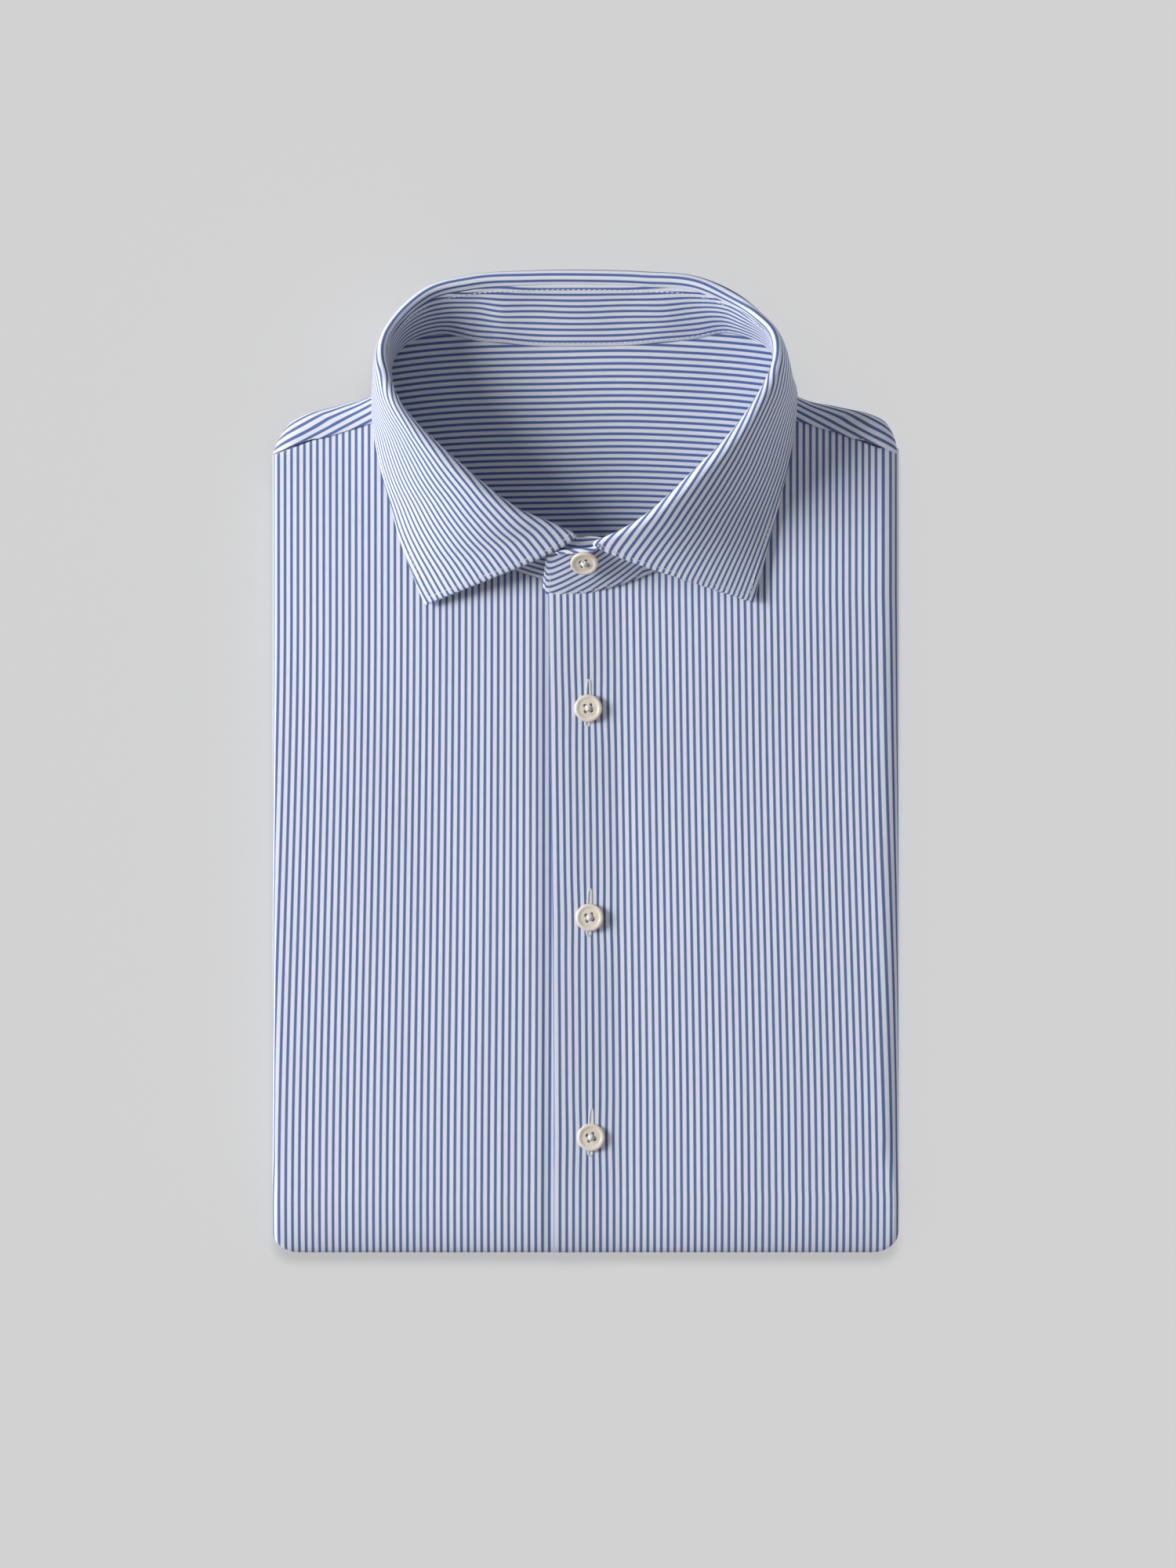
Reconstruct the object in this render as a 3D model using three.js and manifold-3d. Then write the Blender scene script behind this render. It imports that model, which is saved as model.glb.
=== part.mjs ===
// A striped dress shirt, buttoned and folded flat. Millimetres, +Z up; it lies on its back with
// the collar toward +Y, and the origin is on the surface below the middle of its outline.
// "Left" and "right" in names are the wearer's, so the left front is on the +X side.
import * as THREE from 'three';
import { mergeVertices } from 'three/addons/utils/BufferGeometryUtils.js';
import Module from 'manifold-3d';

const wasm = await Module();
wasm.setup();

// ---------------------------------------------------------------- driving dimensions
const CLOTH = 1.2; // wall of one layer of cloth
const SEAM_GAP = 0.3; // clearance between two pieces at a seam
const HALF_WIDTH = 127; // folded width / 2
const BOTTOM_Y = -199.1; // outside of the bottom fold
const SPINE_RADIUS = 8; // outside radius of the bottom fold: half the stack's height
const SPINE_Y = BOTTOM_Y + SPINE_RADIUS; // axis of the bottom fold
const CORNER_RADIUS = 8; // plan radius of the two bottom corners
const CROWN = 1.4; // how much the fronts swell above the fold's height
const NECK_RISE = 0.6; // extra height toward the collar
const TAIL_END_Y = 112; // the tail, folded under, reaches up to here
const OVERLAP_STEP = CLOTH + SEAM_GAP; // the button side lies this much lower under the placket
const LEFT_EDGE = { neckX: -14.9, hemX: -12.7 }; // edge of the upper front along the placket
const RIGHT_EDGE_X = 12; // hidden edge of the lower front
// The fronts' necks start here beside the placket, then follow NECK_EDGE from its first x on.
const PLACKET_NECK = { leftY: 67.8, leftRise: 0.16, leftTo: 12.5, rightY: 68, rightTo: 14 };
const YOKE_LAP = 0.9; // how far the right front's neck runs up past NECK_EDGE, away from the yoke
const SHOULDER_SIDE_Y = 124.2; // where the shoulder seam turns round the side fold
const LIP = 11; // how far a side fold returns under itself
const SHOULDER_LIP = 2;
const SHOULDER_RISE = 0.5; // how much higher than the side folds the shoulder strips may lie

// Side folds: a rolled edge, an ellipse in section, fat along the chest and thin along the tail.
const CHEST_FOLD = { width: 8, depth: 4.4 };
const TAIL_FOLD = { width: 2.8, depth: 2.2 };

// Heights of the hidden layers between the chest and the tail.
const STACK = {
  liningTop: 10.6,
  underLining: 9.1,
  lipTop: 8.8,
  sleeveTop: 6.8,
  sleeveBottom: 4.8,
  floor: 3.1,
  slack: 0.5, // further play under the fronts
  fall: 0.3,
  tread: 0.05, // slope of the level parts of its stepped sides
};

const BUTTON = { radius: 5.65, thickness: 2.9, dish: 0.8, holeRadius: 0.75, holePitch: 1.3 };

// Neck edge of a front panel, from the placket out to the shoulder point (x measured outward).
const NECK_EDGE = [
  { x: 14, y: 70.4 }, { x: 21, y: 72.8 }, { x: 28, y: 75.6 }, { x: 36, y: 80.0 },
  { x: 46, y: 87.0 }, { x: 54, y: 94.0 }, { x: 60, y: 99.9 }, { x: 65, y: 106.5 },
  { x: 69, y: 113.8 }, { x: 72.5, y: 121.7 }, { x: 75.3, y: 131.5 }, { x: 77.5, y: 140.8 },
  { x: 90, y: 137.3 }, { x: 108, y: 131.2 }, { x: 126.4, y: SHOULDER_SIDE_Y },
];

// Shoulder strips of the yoke: a row for each section, from its seam to the shoulder's outline.
const SHOULDER_RIGHT = [
  { seamX: -79.0, seamY: 141.4, foldX: -80.4, foldY: 152.0 },
  { seamX: -87.4, seamY: 138.9, foldX: -88.4, foldY: 147.8 },
  { seamX: -97.0, seamY: 135.9, foldX: -102.0, foldY: 144.1 },
  { seamX: -105.0, seamY: 133.2, foldX: -114.3, foldY: 140.8 },
  { seamX: -108.0, seamY: 132.1, foldX: -119.6, foldY: 137.8 },
  { seamX: -110.5, seamY: 131.1, foldX: -124.0, foldY: 131.8 },
  { seamX: -112.5, seamY: 130.3, foldX: -126.8, foldY: 125.3 },
];
const SHOULDER_LEFT = [
  { seamX: 79.0, seamY: 141.9, foldX: 80.0, foldY: 151.4 },
  { seamX: 87.4, seamY: 139.6, foldX: 88.4, foldY: 147.2 },
  { seamX: 97.0, seamY: 136.6, foldX: 103.0, foldY: 144.0 },
  { seamX: 105.0, seamY: 133.9, foldX: 115.8, foldY: 141.0 },
  { seamX: 108.0, seamY: 132.4, foldX: 121.3, foldY: 138.2 },
  { seamX: 110.5, seamY: 131.1, foldX: 125.0, foldY: 132.4 },
  { seamX: 112.5, seamY: 130.3, foldX: 126.8, foldY: 125.3 },
];

// Collar: a row for each section. "seam" is where the stand meets the shirt, "roll" the top of
// the fold and "edge" the outer edge of the leaf. fold is the roll's radius, swell the leaf's bow.
const COLLAR_LEFT = [
  { seam: [3, 69.3, 17.4], roll: [2.0, 88.0, 34.2], edge: [68.1, 65.0, 20.3], fold: 1.8, swell: 3 },
  { seam: [15.5, 72.9, 17.4], roll: [13.8, 93.5, 37.4], edge: [70.8, 76.0, 19.8], fold: 2, swell: 5 },
  { seam: [28, 77.9, 17.4], roll: [23.9, 99.6, 40.6], edge: [73.8, 87.0, 19.3], fold: 2.4, swell: 8 },
  { seam: [41, 85.8, 17.4], roll: [35, 108, 44.2], edge: [76.9, 98.8, 18.8], fold: 2.8, swell: 10 },
  { seam: [52.6, 95.3, 17.2], roll: [46, 117.6, 47.4], edge: [79.6, 109.5, 18.6], fold: 3.2, swell: 12 },
  { seam: [62, 106, 17.0], roll: [56, 126.8, 49.6], edge: [82, 120, 18.3], fold: 3.4, swell: 14 },
  { seam: [69.3, 119.3, 16.7], roll: [64.3, 137, 50.5], edge: [84, 132, 17.9], fold: 3.4, swell: 15 },
  { seam: [74.6, 136, 16.0], roll: [69.5, 144.8, 50], edge: [85.1, 143.5, 17.5], fold: 3.2, swell: 15 },
  { seam: [77.3, 150, 14.5], roll: [73, 154, 48], edge: [85.2, 151, 16.8], fold: 3, swell: 14 },
  { seam: [78.3, 160, 12.8], roll: [76.2, 163.5, 44], edge: [84, 158.5, 11], fold: 2.8, swell: 14 },
  { seam: [75.5, 166.5, 11.6], roll: [75.6, 172.5, 39.5], edge: [81, 166, 5.5], fold: 2.6, swell: 16 },
  { seam: [69.5, 171, 11.0], roll: [70, 180.5, 35.5], edge: [74, 172, 2], fold: 2.5, swell: 18 },
  { seam: [58, 174, 10.9], roll: [60.5, 188, 32.5], edge: [61, 176.4, 1.7], fold: 2.5, swell: 22 },
  { seam: [44, 171.6, 10.9], roll: [46, 194.2, 30.5], edge: [45, 178.4, 1.5], fold: 2.5, swell: 24 },
  { seam: [22, 169.4, 10.9], roll: [23, 196.6, 29.3], edge: [22, 179.4, 1.5], fold: 2.5, swell: 25 },
];
const COLLAR_BACK = {
  seam: [0, 168.6, 10.9], roll: [0, 197.4, 29], edge: [0, 179.7, 1.5], fold: 2.5, swell: 25,
};
const COLLAR_RIGHT = [
  { seam: [-4, 71.2, 16.0], roll: [-5.1, 91.6, 34.2], edge: [-65, 63.8, 20.3], fold: 1.8, swell: 3 },
  { seam: [-16.8, 74.4, 16.6], roll: [-15.5, 96.2, 37.2], edge: [-68.6, 72.5, 19.8], fold: 2, swell: 5 },
  { seam: [-29, 78.6, 17.2], roll: [-25.5, 100.8, 40.2], edge: [-72.2, 81.5, 19.4], fold: 2.4, swell: 8 },
  { seam: [-41.5, 86.2, 17.4], roll: [-35.5, 106.9, 43.6], edge: [-75.8, 91.5, 18.9], fold: 2.8, swell: 10 },
  { seam: [-52.8, 95.5, 17.2], roll: [-46.5, 116, 47.2], edge: [-78.9, 103.5, 18.6], fold: 3.2, swell: 12 },
  { seam: [-62.2, 106.2, 17], roll: [-56.5, 126.4, 49.6], edge: [-82.2, 115.5, 18.3], fold: 3.4, swell: 14 },
  { seam: [-69.7, 119.5, 16.7], roll: [-65.5, 136.4, 50.5], edge: [-84.6, 128.5, 18], fold: 3.4, swell: 15 },
  { seam: [-74.8, 136, 16], roll: [-72.3, 145, 50], edge: [-85.4, 141.5, 17.5], fold: 3.2, swell: 15 },
  { seam: [-77.5, 150, 14.5], roll: [-76.6, 152.6, 48], edge: [-85.4, 150, 16.8], fold: 3, swell: 14 },
  { seam: [-78.5, 160, 12.8], roll: [-80.2, 163, 44], edge: [-84.3, 158, 11], fold: 2.8, swell: 14 },
  { seam: [-75.7, 166.5, 11.6], roll: [-79.8, 171.2, 39.5], edge: [-82, 166, 5.5], fold: 2.6, swell: 16 },
  { seam: [-70, 171, 11.0], roll: [-74.8, 179.8, 35.5], edge: [-75, 172, 2], fold: 2.5, swell: 18 },
  { seam: [-59, 173.6, 10.9], roll: [-63.5, 190, 32.5], edge: [-62, 176.4, 1.7], fold: 2.5, swell: 22 },
  { seam: [-44, 171, 10.9], roll: [-46, 195, 30.5], edge: [-45, 178.4, 1.5], fold: 2.5, swell: 24 },
  { seam: [-22, 169, 10.9], roll: [-23, 197, 29.3], edge: [-22, 179.4, 1.5], fold: 2.5, swell: 25 },
];
const STAND_TOP_BELOW_ROLL = 5.5; // the leaf is sewn to the stand this far down inside the roll
// Stand ends past the leaf: the left one laps over the right one at the collar button.
const STAND_LEFT_END = [
  { seam: [-16.3, 72.0, 20.0], top: [-16.5, 80.0, 26.2] },
  { seam: [-15.6, 68.9, 17.5], top: [-15.0, 84.0, 29.0] },
  { seam: [-11.0, 68.7, 17.4], top: [-10.5, 85.6, 30.6] },
  { seam: [-4.0, 68.7, 17.4], top: [-4.2, 85.8, 31.2] },
];
const STAND_RIGHT_END = [
  { seam: [3.0, 70.9, 15.8], top: [2.5, 86.6, 27.6] },
  { seam: [9.0, 71.0, 15.8], top: [8.5, 85.2, 26.4] },
  { seam: [12.5, 73.0, 17.1], top: [12.5, 81.5, 23.4] },
];

// Buttons down the placket, and the collar's own.
const PLACKET_BUTTONS = [
  { name: 'button_1', x: 1.05, y: 21.8 },
  { name: 'button_2', x: 1.6, y: -63.0 },
  { name: 'button_3', x: 2.2, y: -152.1 },
];
const COLLAR_BUTTON = { x: -0.6, y: 82.4 };

// ---------------------------------------------------------------- small helpers
const mix = (a, b, t) => a + (b - a) * t;
const vec = (p) => new THREE.Vector3(p[0], p[1], p[2]);
const range = (count) => Array.from({ length: count + 1 }, (_, i) => i / count);
const spread = (from, to, count) => range(count).map((t) => mix(from, to, t));

function smooth(from, to, value) {
  const t = Math.min(Math.max((value - from) / (to - from), 0), 1);
  return t * t * (3 - 2 * t);
}

function lookUp(rows, x, column) {
  const last = rows.length - 1;
  if (x <= rows[0].x) return rows[0][column];
  const next = rows.findIndex((row) => row.x >= x);
  if (next < 0) return rows[last][column];
  const [a, b] = [rows[next - 1], rows[next]];
  return mix(a[column], b[column], (x - a.x) / (b.x - a.x));
}

// A BufferGeometry from points and faces, with its faces turned outward.
function bodyOf(points, faces) {
  const volume = faces.reduce((sum, [a, b, c]) => {
    const cross = new THREE.Vector3().crossVectors(points[b], points[c]);
    return sum + points[a].dot(cross) / 6;
  }, 0);
  const turned = volume < 0 ? faces.map(([a, b, c]) => [a, c, b]) : faces;
  const geometry = new THREE.BufferGeometry();
  geometry.setAttribute('position', new THREE.Float32BufferAttribute(points.flatMap((p) => p.toArray()), 3));
  geometry.setIndex(turned.flat());
  return geometry;
}

// Unit normals of a grid of points, pointing to the side named by sign.
function gridNormals(grid, sign) {
  const within = (k, count) => Math.min(Math.max(k, 0), count - 1);
  const at = (i, j) => grid[within(i, grid.length)][within(j, grid[0].length)];
  return grid.map((row, i) => row.map((_, j) => {
    const along = at(i + 1, j).clone().sub(at(i - 1, j));
    const across = at(i, j + 1).clone().sub(at(i, j - 1));
    return along.cross(across).normalize().multiplyScalar(sign);
  }));
}

// A closed wall of cloth: the grid is its outer face, and the inner face lies behind it.
function clothWall(grid, sign, thickness = CLOTH) {
  const normals = gridNormals(grid, sign);
  const behind = (p, i, j) => p.clone().addScaledVector(normals[i][j], -thickness);
  const inner = grid.map((row, i) => row.map((p, j) => behind(p, i, j)));
  const points = [...grid.flat(), ...inner.flat()];
  const [rows, columns] = [grid.length, grid[0].length];
  const outerAt = (i, j) => i * columns + j;
  const innerAt = (i, j) => rows * columns + outerAt(i, j);
  const faces = [];
  const quad = (a, b, c, d) => faces.push([a, b, c], [a, c, d]);
  for (let i = 0; i < rows - 1; i++) {
    for (let j = 0; j < columns - 1; j++) {
      quad(outerAt(i, j), outerAt(i, j + 1), outerAt(i + 1, j + 1), outerAt(i + 1, j));
      quad(innerAt(i, j), innerAt(i + 1, j), innerAt(i + 1, j + 1), innerAt(i, j + 1));
    }
    const last = columns - 1;
    quad(outerAt(i, 0), outerAt(i + 1, 0), innerAt(i + 1, 0), innerAt(i, 0));
    quad(outerAt(i + 1, last), outerAt(i, last), innerAt(i, last), innerAt(i + 1, last));
  }
  for (let j = 0; j < columns - 1; j++) {
    const last = rows - 1;
    quad(outerAt(0, j + 1), outerAt(0, j), innerAt(0, j), innerAt(0, j + 1));
    quad(outerAt(last, j), outerAt(last, j + 1), innerAt(last, j + 1), innerAt(last, j));
  }
  return bodyOf(points, faces);
}

// ---------------------------------------------------------------- the folded body
function chestHeight(x, y) {
  const across = 1 - (x / HALF_WIDTH) ** 2;
  const crown = CROWN * across * smooth(-188, -110, y);
  return 2 * SPINE_RADIUS + crown + NECK_RISE * across * smooth(0, 70, y);
}

// How far the outline draws in at the bottom corners.
function cornerInset(y) {
  const into = BOTTOM_Y + CORNER_RADIUS - y;
  return into <= 0 ? 0 : CORNER_RADIUS - Math.sqrt(Math.max(CORNER_RADIUS ** 2 - into ** 2, 0));
}

// Steps along a front: down the chest, round the bottom fold and up the tail, which lies flat.
const CHEST_STEPS = [60, 20, -30, -80, -125, -160, -178, SPINE_Y];
const NECK_STEPS = [1, 0.66, 0.33];
const SPINE_STEPS = spread(0, Math.PI, 8).slice(1);
const TAIL_STEPS = [-170, -90, 10, TAIL_END_Y];

// Points of the fold line at one place across: y, height, the way the cloth faces, and how far
// its side fold has thinned from the chest's shape to the tail's.
function stationsDown(x, startY) {
  const chestPoint = (y) => ({ y, z: chestHeight(x, y), facing: [0, 1], thin: smooth(-166, -187, y) });
  const neck = NECK_STEPS.map((t) => chestPoint(mix(CHEST_STEPS[0], startY, t)));
  const spine = SPINE_STEPS.map((angle) => ({
    y: SPINE_Y - SPINE_RADIUS * Math.sin(angle),
    z: SPINE_RADIUS + SPINE_RADIUS * Math.cos(angle),
    facing: [-Math.sin(angle), Math.cos(angle)],
    thin: 1,
  }));
  const tail = TAIL_STEPS.map((y) => ({ y, z: 0, facing: [0, -1], thin: 1 }));
  return [...neck, ...CHEST_STEPS.map(chestPoint), ...spine, ...tail];
}

// Across a front: flat cloth out to the side fold, round it, then a lip that returns beneath.
const FOLD_ANGLES = [0.22, 0.5, 0.78, 1].map((t) => t * Math.PI);
const FLAT_TO = 100; // past here the columns draw in with the outline
const DIP_ACROSS = [16.2, 17.8, 20]; // where the right front rises from under the placket

function frontPoint(column, station) {
  const foldWidth = mix(CHEST_FOLD.width, TAIL_FOLD.width, station.thin);
  const foldDepth = mix(CHEST_FOLD.depth, TAIL_FOLD.depth, station.thin);
  const foldStart = HALF_WIDTH - cornerInset(station.y) - foldWidth;
  let [x, depth] = [column.x, column.depth];
  if (column.angle !== undefined) {
    x = foldStart + foldWidth * Math.sin(column.angle) - LIP * column.lip;
    depth = foldDepth * (1 - Math.cos(column.angle));
  } else if (column.x > FLAT_TO) {
    x = mix(FLAT_TO, foldStart, (column.x - FLAT_TO) / (HALF_WIDTH - CHEST_FOLD.width - FLAT_TO));
  }
  return [x, station.y - station.facing[0] * depth, station.z - station.facing[1] * depth];
}

// side is +1 for the wearer's left front (+X) and -1 for the right one.
function frontPanel(side, flatColumns, startAt) {
  const columns = [
    ...flatColumns,
    ...FOLD_ANGLES.map((angle) => ({ x: HALF_WIDTH, depth: 0, angle, lip: 0 })),
    { x: HALF_WIDTH, depth: 0, angle: Math.PI, lip: 1 },
  ];
  const grid = columns.map((column) => stationsDown(column.x, startAt(column)).map((station) => {
    const edge = column.edgeAt ? { ...column, x: column.edgeAt(station.y) } : column;
    const [x, y, z] = frontPoint(edge, station);
    return new THREE.Vector3(side * x, y, z);
  }));
  return clothWall(grid, -side);
}

const OUTER_COLUMNS = [FLAT_TO, 110, HALF_WIDTH - CHEST_FOLD.width];
const NECK_COLUMNS = [21, 28, 36, 46, 54, 60, 65, 69, 72.5, 75.3, 77.5, 88];
const flatColumn = (x) => ({ x, depth: 0 });

function leftFront() {
  const { leftY, leftRise, leftTo } = PLACKET_NECK;
  const edgeAt = (y) => mix(LEFT_EDGE.hemX, LEFT_EDGE.neckX, smooth(BOTTOM_Y, leftY, y));
  const edge = { x: LEFT_EDGE.neckX, depth: 0, edgeAt };
  const columns = [edge, ...[-6, 3, 12, ...NECK_COLUMNS, ...OUTER_COLUMNS].map(flatColumn)];
  return frontPanel(1, columns, ({ x }) => (
    x < leftTo ? leftY + leftRise * Math.max(x, 0) : lookUp(NECK_EDGE, x, 'y')
  ));
}

// The right front dips under the placket, so its flat cloth runs on to a hidden edge.
function rightFront() {
  const { rightY, rightTo } = PLACKET_NECK;
  const under = [-RIGHT_EDGE_X, 0, 10].map((x) => ({ x, depth: OVERLAP_STEP }));
  const dip = DIP_ACROSS.map((x, i) => ({ x, depth: OVERLAP_STEP * (1 - i / 2) }));
  const flat = [24, 28, ...NECK_COLUMNS.slice(2), ...OUTER_COLUMNS].map(flatColumn);
  return frontPanel(-1, [...under, ...dip, ...flat], ({ x }) => (
    x < rightTo ? rightY : lookUp(NECK_EDGE, x, 'y') + YOKE_LAP * smooth(77, 60, x)
  ));
}

// ---------------------------------------------------------------- hidden layers
// One solid for the back, the folded sleeves and the cuffs. Its section across, a row for each
// step along: half widths of the chest block, the core between the lips, and the sleeve layer.
const LAYER_ROWS = [
  { y: SPINE_Y - 4.4, chest: 99, core: 98, sleeve: 99 },
  { y: SPINE_Y - 2.6, chest: 102, core: 101, sleeve: 102 },
  { y: SPINE_Y, chest: 104, core: 103, sleeve: 107 },
  { y: -187, chest: 105, core: 104, sleeve: 117 },
  { y: -182, chest: 105, core: 104, sleeve: 122 },
  { y: -158, chest: 105.4, core: 104, sleeve: 123 },
  { y: -153, chest: 123.6, core: 104, sleeve: 123.4 },
  { y: -80, chest: 123.6, core: 104, sleeve: 122.2 },
  { y: 0, chest: 123.6, core: 104, sleeve: 123.8 },
  { y: 32, chest: 123.6, core: 104, sleeve: 123 },
  { y: 37, chest: 105, core: 104, sleeve: 122.6 },
  { y: 110, chest: 105, core: 104, sleeve: 123.6 },
  { y: 124, chest: 105, core: 104, sleeve: 123.4 },
  { y: 129, chest: 99, core: 98, sleeve: 121 },
  { y: 133.5, chest: 87, core: 86, sleeve: 117.5 },
  { y: 137, chest: 77, core: 76, sleeve: 112 },
  { y: 140.5, chest: 76.6, core: 75.6, sleeve: 101 },
  { y: 144, chest: 76.6, core: 75.6, sleeve: 87 },
  { y: 147.5, chest: 76.4, core: 75.4, sleeve: 78 },
  { y: 156, chest: 73.6, core: 72.6, sleeve: 74 },
  { y: 161.5, chest: 66.6, core: 65.6, sleeve: 67 },
  { y: 163.5, chest: 60.6, core: 59.6, sleeve: 61 },
];
const LAYER_TOP_SHARES = [0.1, 0.16, 0.21, 0.4, 0.6, 0.8, 1]; // places across its top
const CHEST_NOSE = 6.5; // how far in the rounding of the chest layers starts
const SLEEVE_NOSE = 1.2;
const NOSE_STEPS = 4;
const NECK_HOLLOW_Y = 35; // past here the fronts stand clear over the lining

// How high the solid may reach: under the fronts, or under the lining past the neck's front.
// It falls a little outward all the way, so that no two of its points are level.
function layerTop(x, y) {
  const fall = STACK.fall * Math.abs(x) / HALF_WIDTH;
  const placket = y < SPINE_Y + SPINE_RADIUS ? 1 : 1 - smooth(19, 24, Math.abs(x));
  const underFront = chestHeight(x, y) - OVERLAP_STEP * (1 + placket) - STACK.slack;
  return (y < NECK_HOLLOW_Y ? underFront : STACK.underLining) - fall;
}

function layerSection(row) {
  const bend = Math.max(SPINE_Y - row.y, 0);
  const inside = Math.sqrt((SPINE_RADIUS - 2 * OVERLAP_STEP) ** 2 - bend ** 2);
  const squeeze = mix(inside / (SPINE_RADIUS - STACK.floor), 1, smooth(SPINE_Y, SPINE_Y + 12, row.y));
  const settle = (z) => SPINE_RADIUS + (z - SPINE_RADIUS) * squeeze;
  const half = [];
  const put = (x, z) => half.push([x, settle(z)]);
  const noseOf = (width, length, top, bottom) => {
    const radius = (top - bottom) / 2;
    for (const t of spread(0, Math.PI, NOSE_STEPS)) {
      put(width - length + length * Math.sin(t), bottom + radius + radius * Math.cos(t));
    }
  };
  const flatTo = row.chest - CHEST_NOSE - 0.5;
  const chestTop = layerTop(flatTo, row.y) - 0.05;
  const chestBottom = Math.min(STACK.lipTop, chestTop - 0.4);
  for (const share of LAYER_TOP_SHARES) put(share * flatTo, layerTop(share * flatTo, row.y));
  noseOf(row.chest, Math.min(CHEST_NOSE, 0.6 * (row.chest - row.core)), chestTop, chestBottom);
  put(row.core, chestBottom - STACK.tread);
  put(row.core, STACK.sleeveTop + STACK.tread);
  const sleeveNose = Math.min(SLEEVE_NOSE, 0.6 * (row.sleeve - row.core));
  noseOf(row.sleeve, sleeveNose, STACK.sleeveTop, STACK.sleeveBottom);
  put(row.core - 2, STACK.sleeveBottom - STACK.tread);
  put(row.core - 2, STACK.floor);
  const middle = [[0, settle(layerTop(0, row.y))]];
  const mirrored = [...half].reverse().map(([x, z]) => [-x, z]);
  return [...middle, ...half, ...mirrored];
}

function foldedLayers() {
  const sections = LAYER_ROWS.map(layerSection);
  const size = sections[0].length;
  const points = sections.flatMap((loop, i) => (
    loop.map(([x, z]) => new THREE.Vector3(x, LAYER_ROWS[i].y, z))
  ));
  const faces = [];
  for (let i = 0; i < sections.length - 1; i++) {
    for (let j = 0; j < size; j++) {
      const [a, b] = [i * size + j, i * size + ((j + 1) % size)];
      faces.push([a, b, b + size], [a, b + size, a + size]);
    }
  }
  // A section is the same on both sides, so strips between mirrored points close each end.
  const cap = (i, turned) => {
    for (let j = 0; j < size / 2 - 1; j++) {
      const [a, b] = [j, j + 1].map((k) => i * size + k);
      const [c, d] = [j + 1, j].map((k) => i * size + ((size - k) % size));
      for (const face of [[a, c, b], [a, d, c]]) {
        if (new Set(face).size === 3) faces.push(turned ? face.reverse() : face);
      }
    }
  };
  cap(0, false);
  cap(sections.length - 1, true);
  return bodyOf(points, faces);
}

// ---------------------------------------------------------------- yoke and its lining
// A shoulder strip: from its seam over the shoulder's fold to a lip beneath.
function shoulderStrip(rows, side) {
  const grid = rows.map((row) => {
    const seam = new THREE.Vector2(row.seamX, row.seamY);
    const fold = new THREE.Vector2(row.foldX, row.foldY);
    const out = fold.clone().sub(seam);
    const reach = out.length();
    out.normalize();
    const width = Math.min(CHEST_FOLD.width, 0.75 * reach);
    const line = [[0, 0], [(reach - width) * 0.6, 0]];
    for (const t of spread(0, Math.PI, 6)) {
      line.push([reach - width + width * Math.sin(t), CHEST_FOLD.depth * (1 - Math.cos(t))]);
    }
    line.push([reach - width - SHOULDER_LIP, 2 * CHEST_FOLD.depth]);
    const sideHeight = chestHeight(side * (HALF_WIDTH - CHEST_FOLD.width), row.seamY) + SHOULDER_RISE;
    const base = Math.min(chestHeight(row.seamX, row.seamY), sideHeight);
    return line.map(([across, down]) => {
      const place = out.clone().multiplyScalar(across).add(seam);
      return new THREE.Vector3(place.x, place.y, base - down);
    });
  });
  return clothWall(grid, side);
}

const LINING_EDGE = [
  { x: 0, y: 167.9 }, { x: 27, y: 169.0 }, { x: 45, y: 170.6 }, { x: 57, y: 172.8 }, { x: 64, y: 172.0 },
  { x: 69, y: 169.6 }, { x: 74, y: 165.2 }, { x: 77, y: 160 }, { x: 77.8, y: 150 }, { x: 79, y: 142.5 },
  { x: 84, y: 136 },
];

const LINING_FRONT_Y = 42; // the lining runs on under the fronts to here

function liningSheet() {
  const half = LINING_EDGE.map((row) => row.x);
  const across = [...half.slice(1).reverse().map((x) => -x), ...half];
  const steps = [0, 0.08, 0.22, 0.4, 0.6, 0.8, 1];
  const grid = across.map((x) => steps.map((t) => {
    const y = mix(lookUp(LINING_EDGE, Math.abs(x), 'y'), LINING_FRONT_Y, t);
    return new THREE.Vector3(x, y, STACK.liningTop);
  }));
  return clothWall(grid, -1);
}

// ---------------------------------------------------------------- collar
function collarRows() {
  const right = [...COLLAR_RIGHT].reverse();
  return [...COLLAR_LEFT, COLLAR_BACK, ...right].map((row) => ({
    ...row,
    seam: vec(row.seam),
    roll: vec(row.roll),
    edge: vec(row.edge),
  }));
}

const upTheStand = (row) => row.roll.clone().sub(row.seam).normalize();

// The collar's own directions at a row: up the stand, and out of the neck across the roll.
function collarFrame(rows, i) {
  const up = upTheStand(rows[i]);
  const before = rows[Math.max(i - 1, 0)].roll;
  const after = rows[Math.min(i + 1, rows.length - 1)].roll;
  const out = after.clone().sub(before).cross(up).normalize();
  return { up, out };
}

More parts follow.
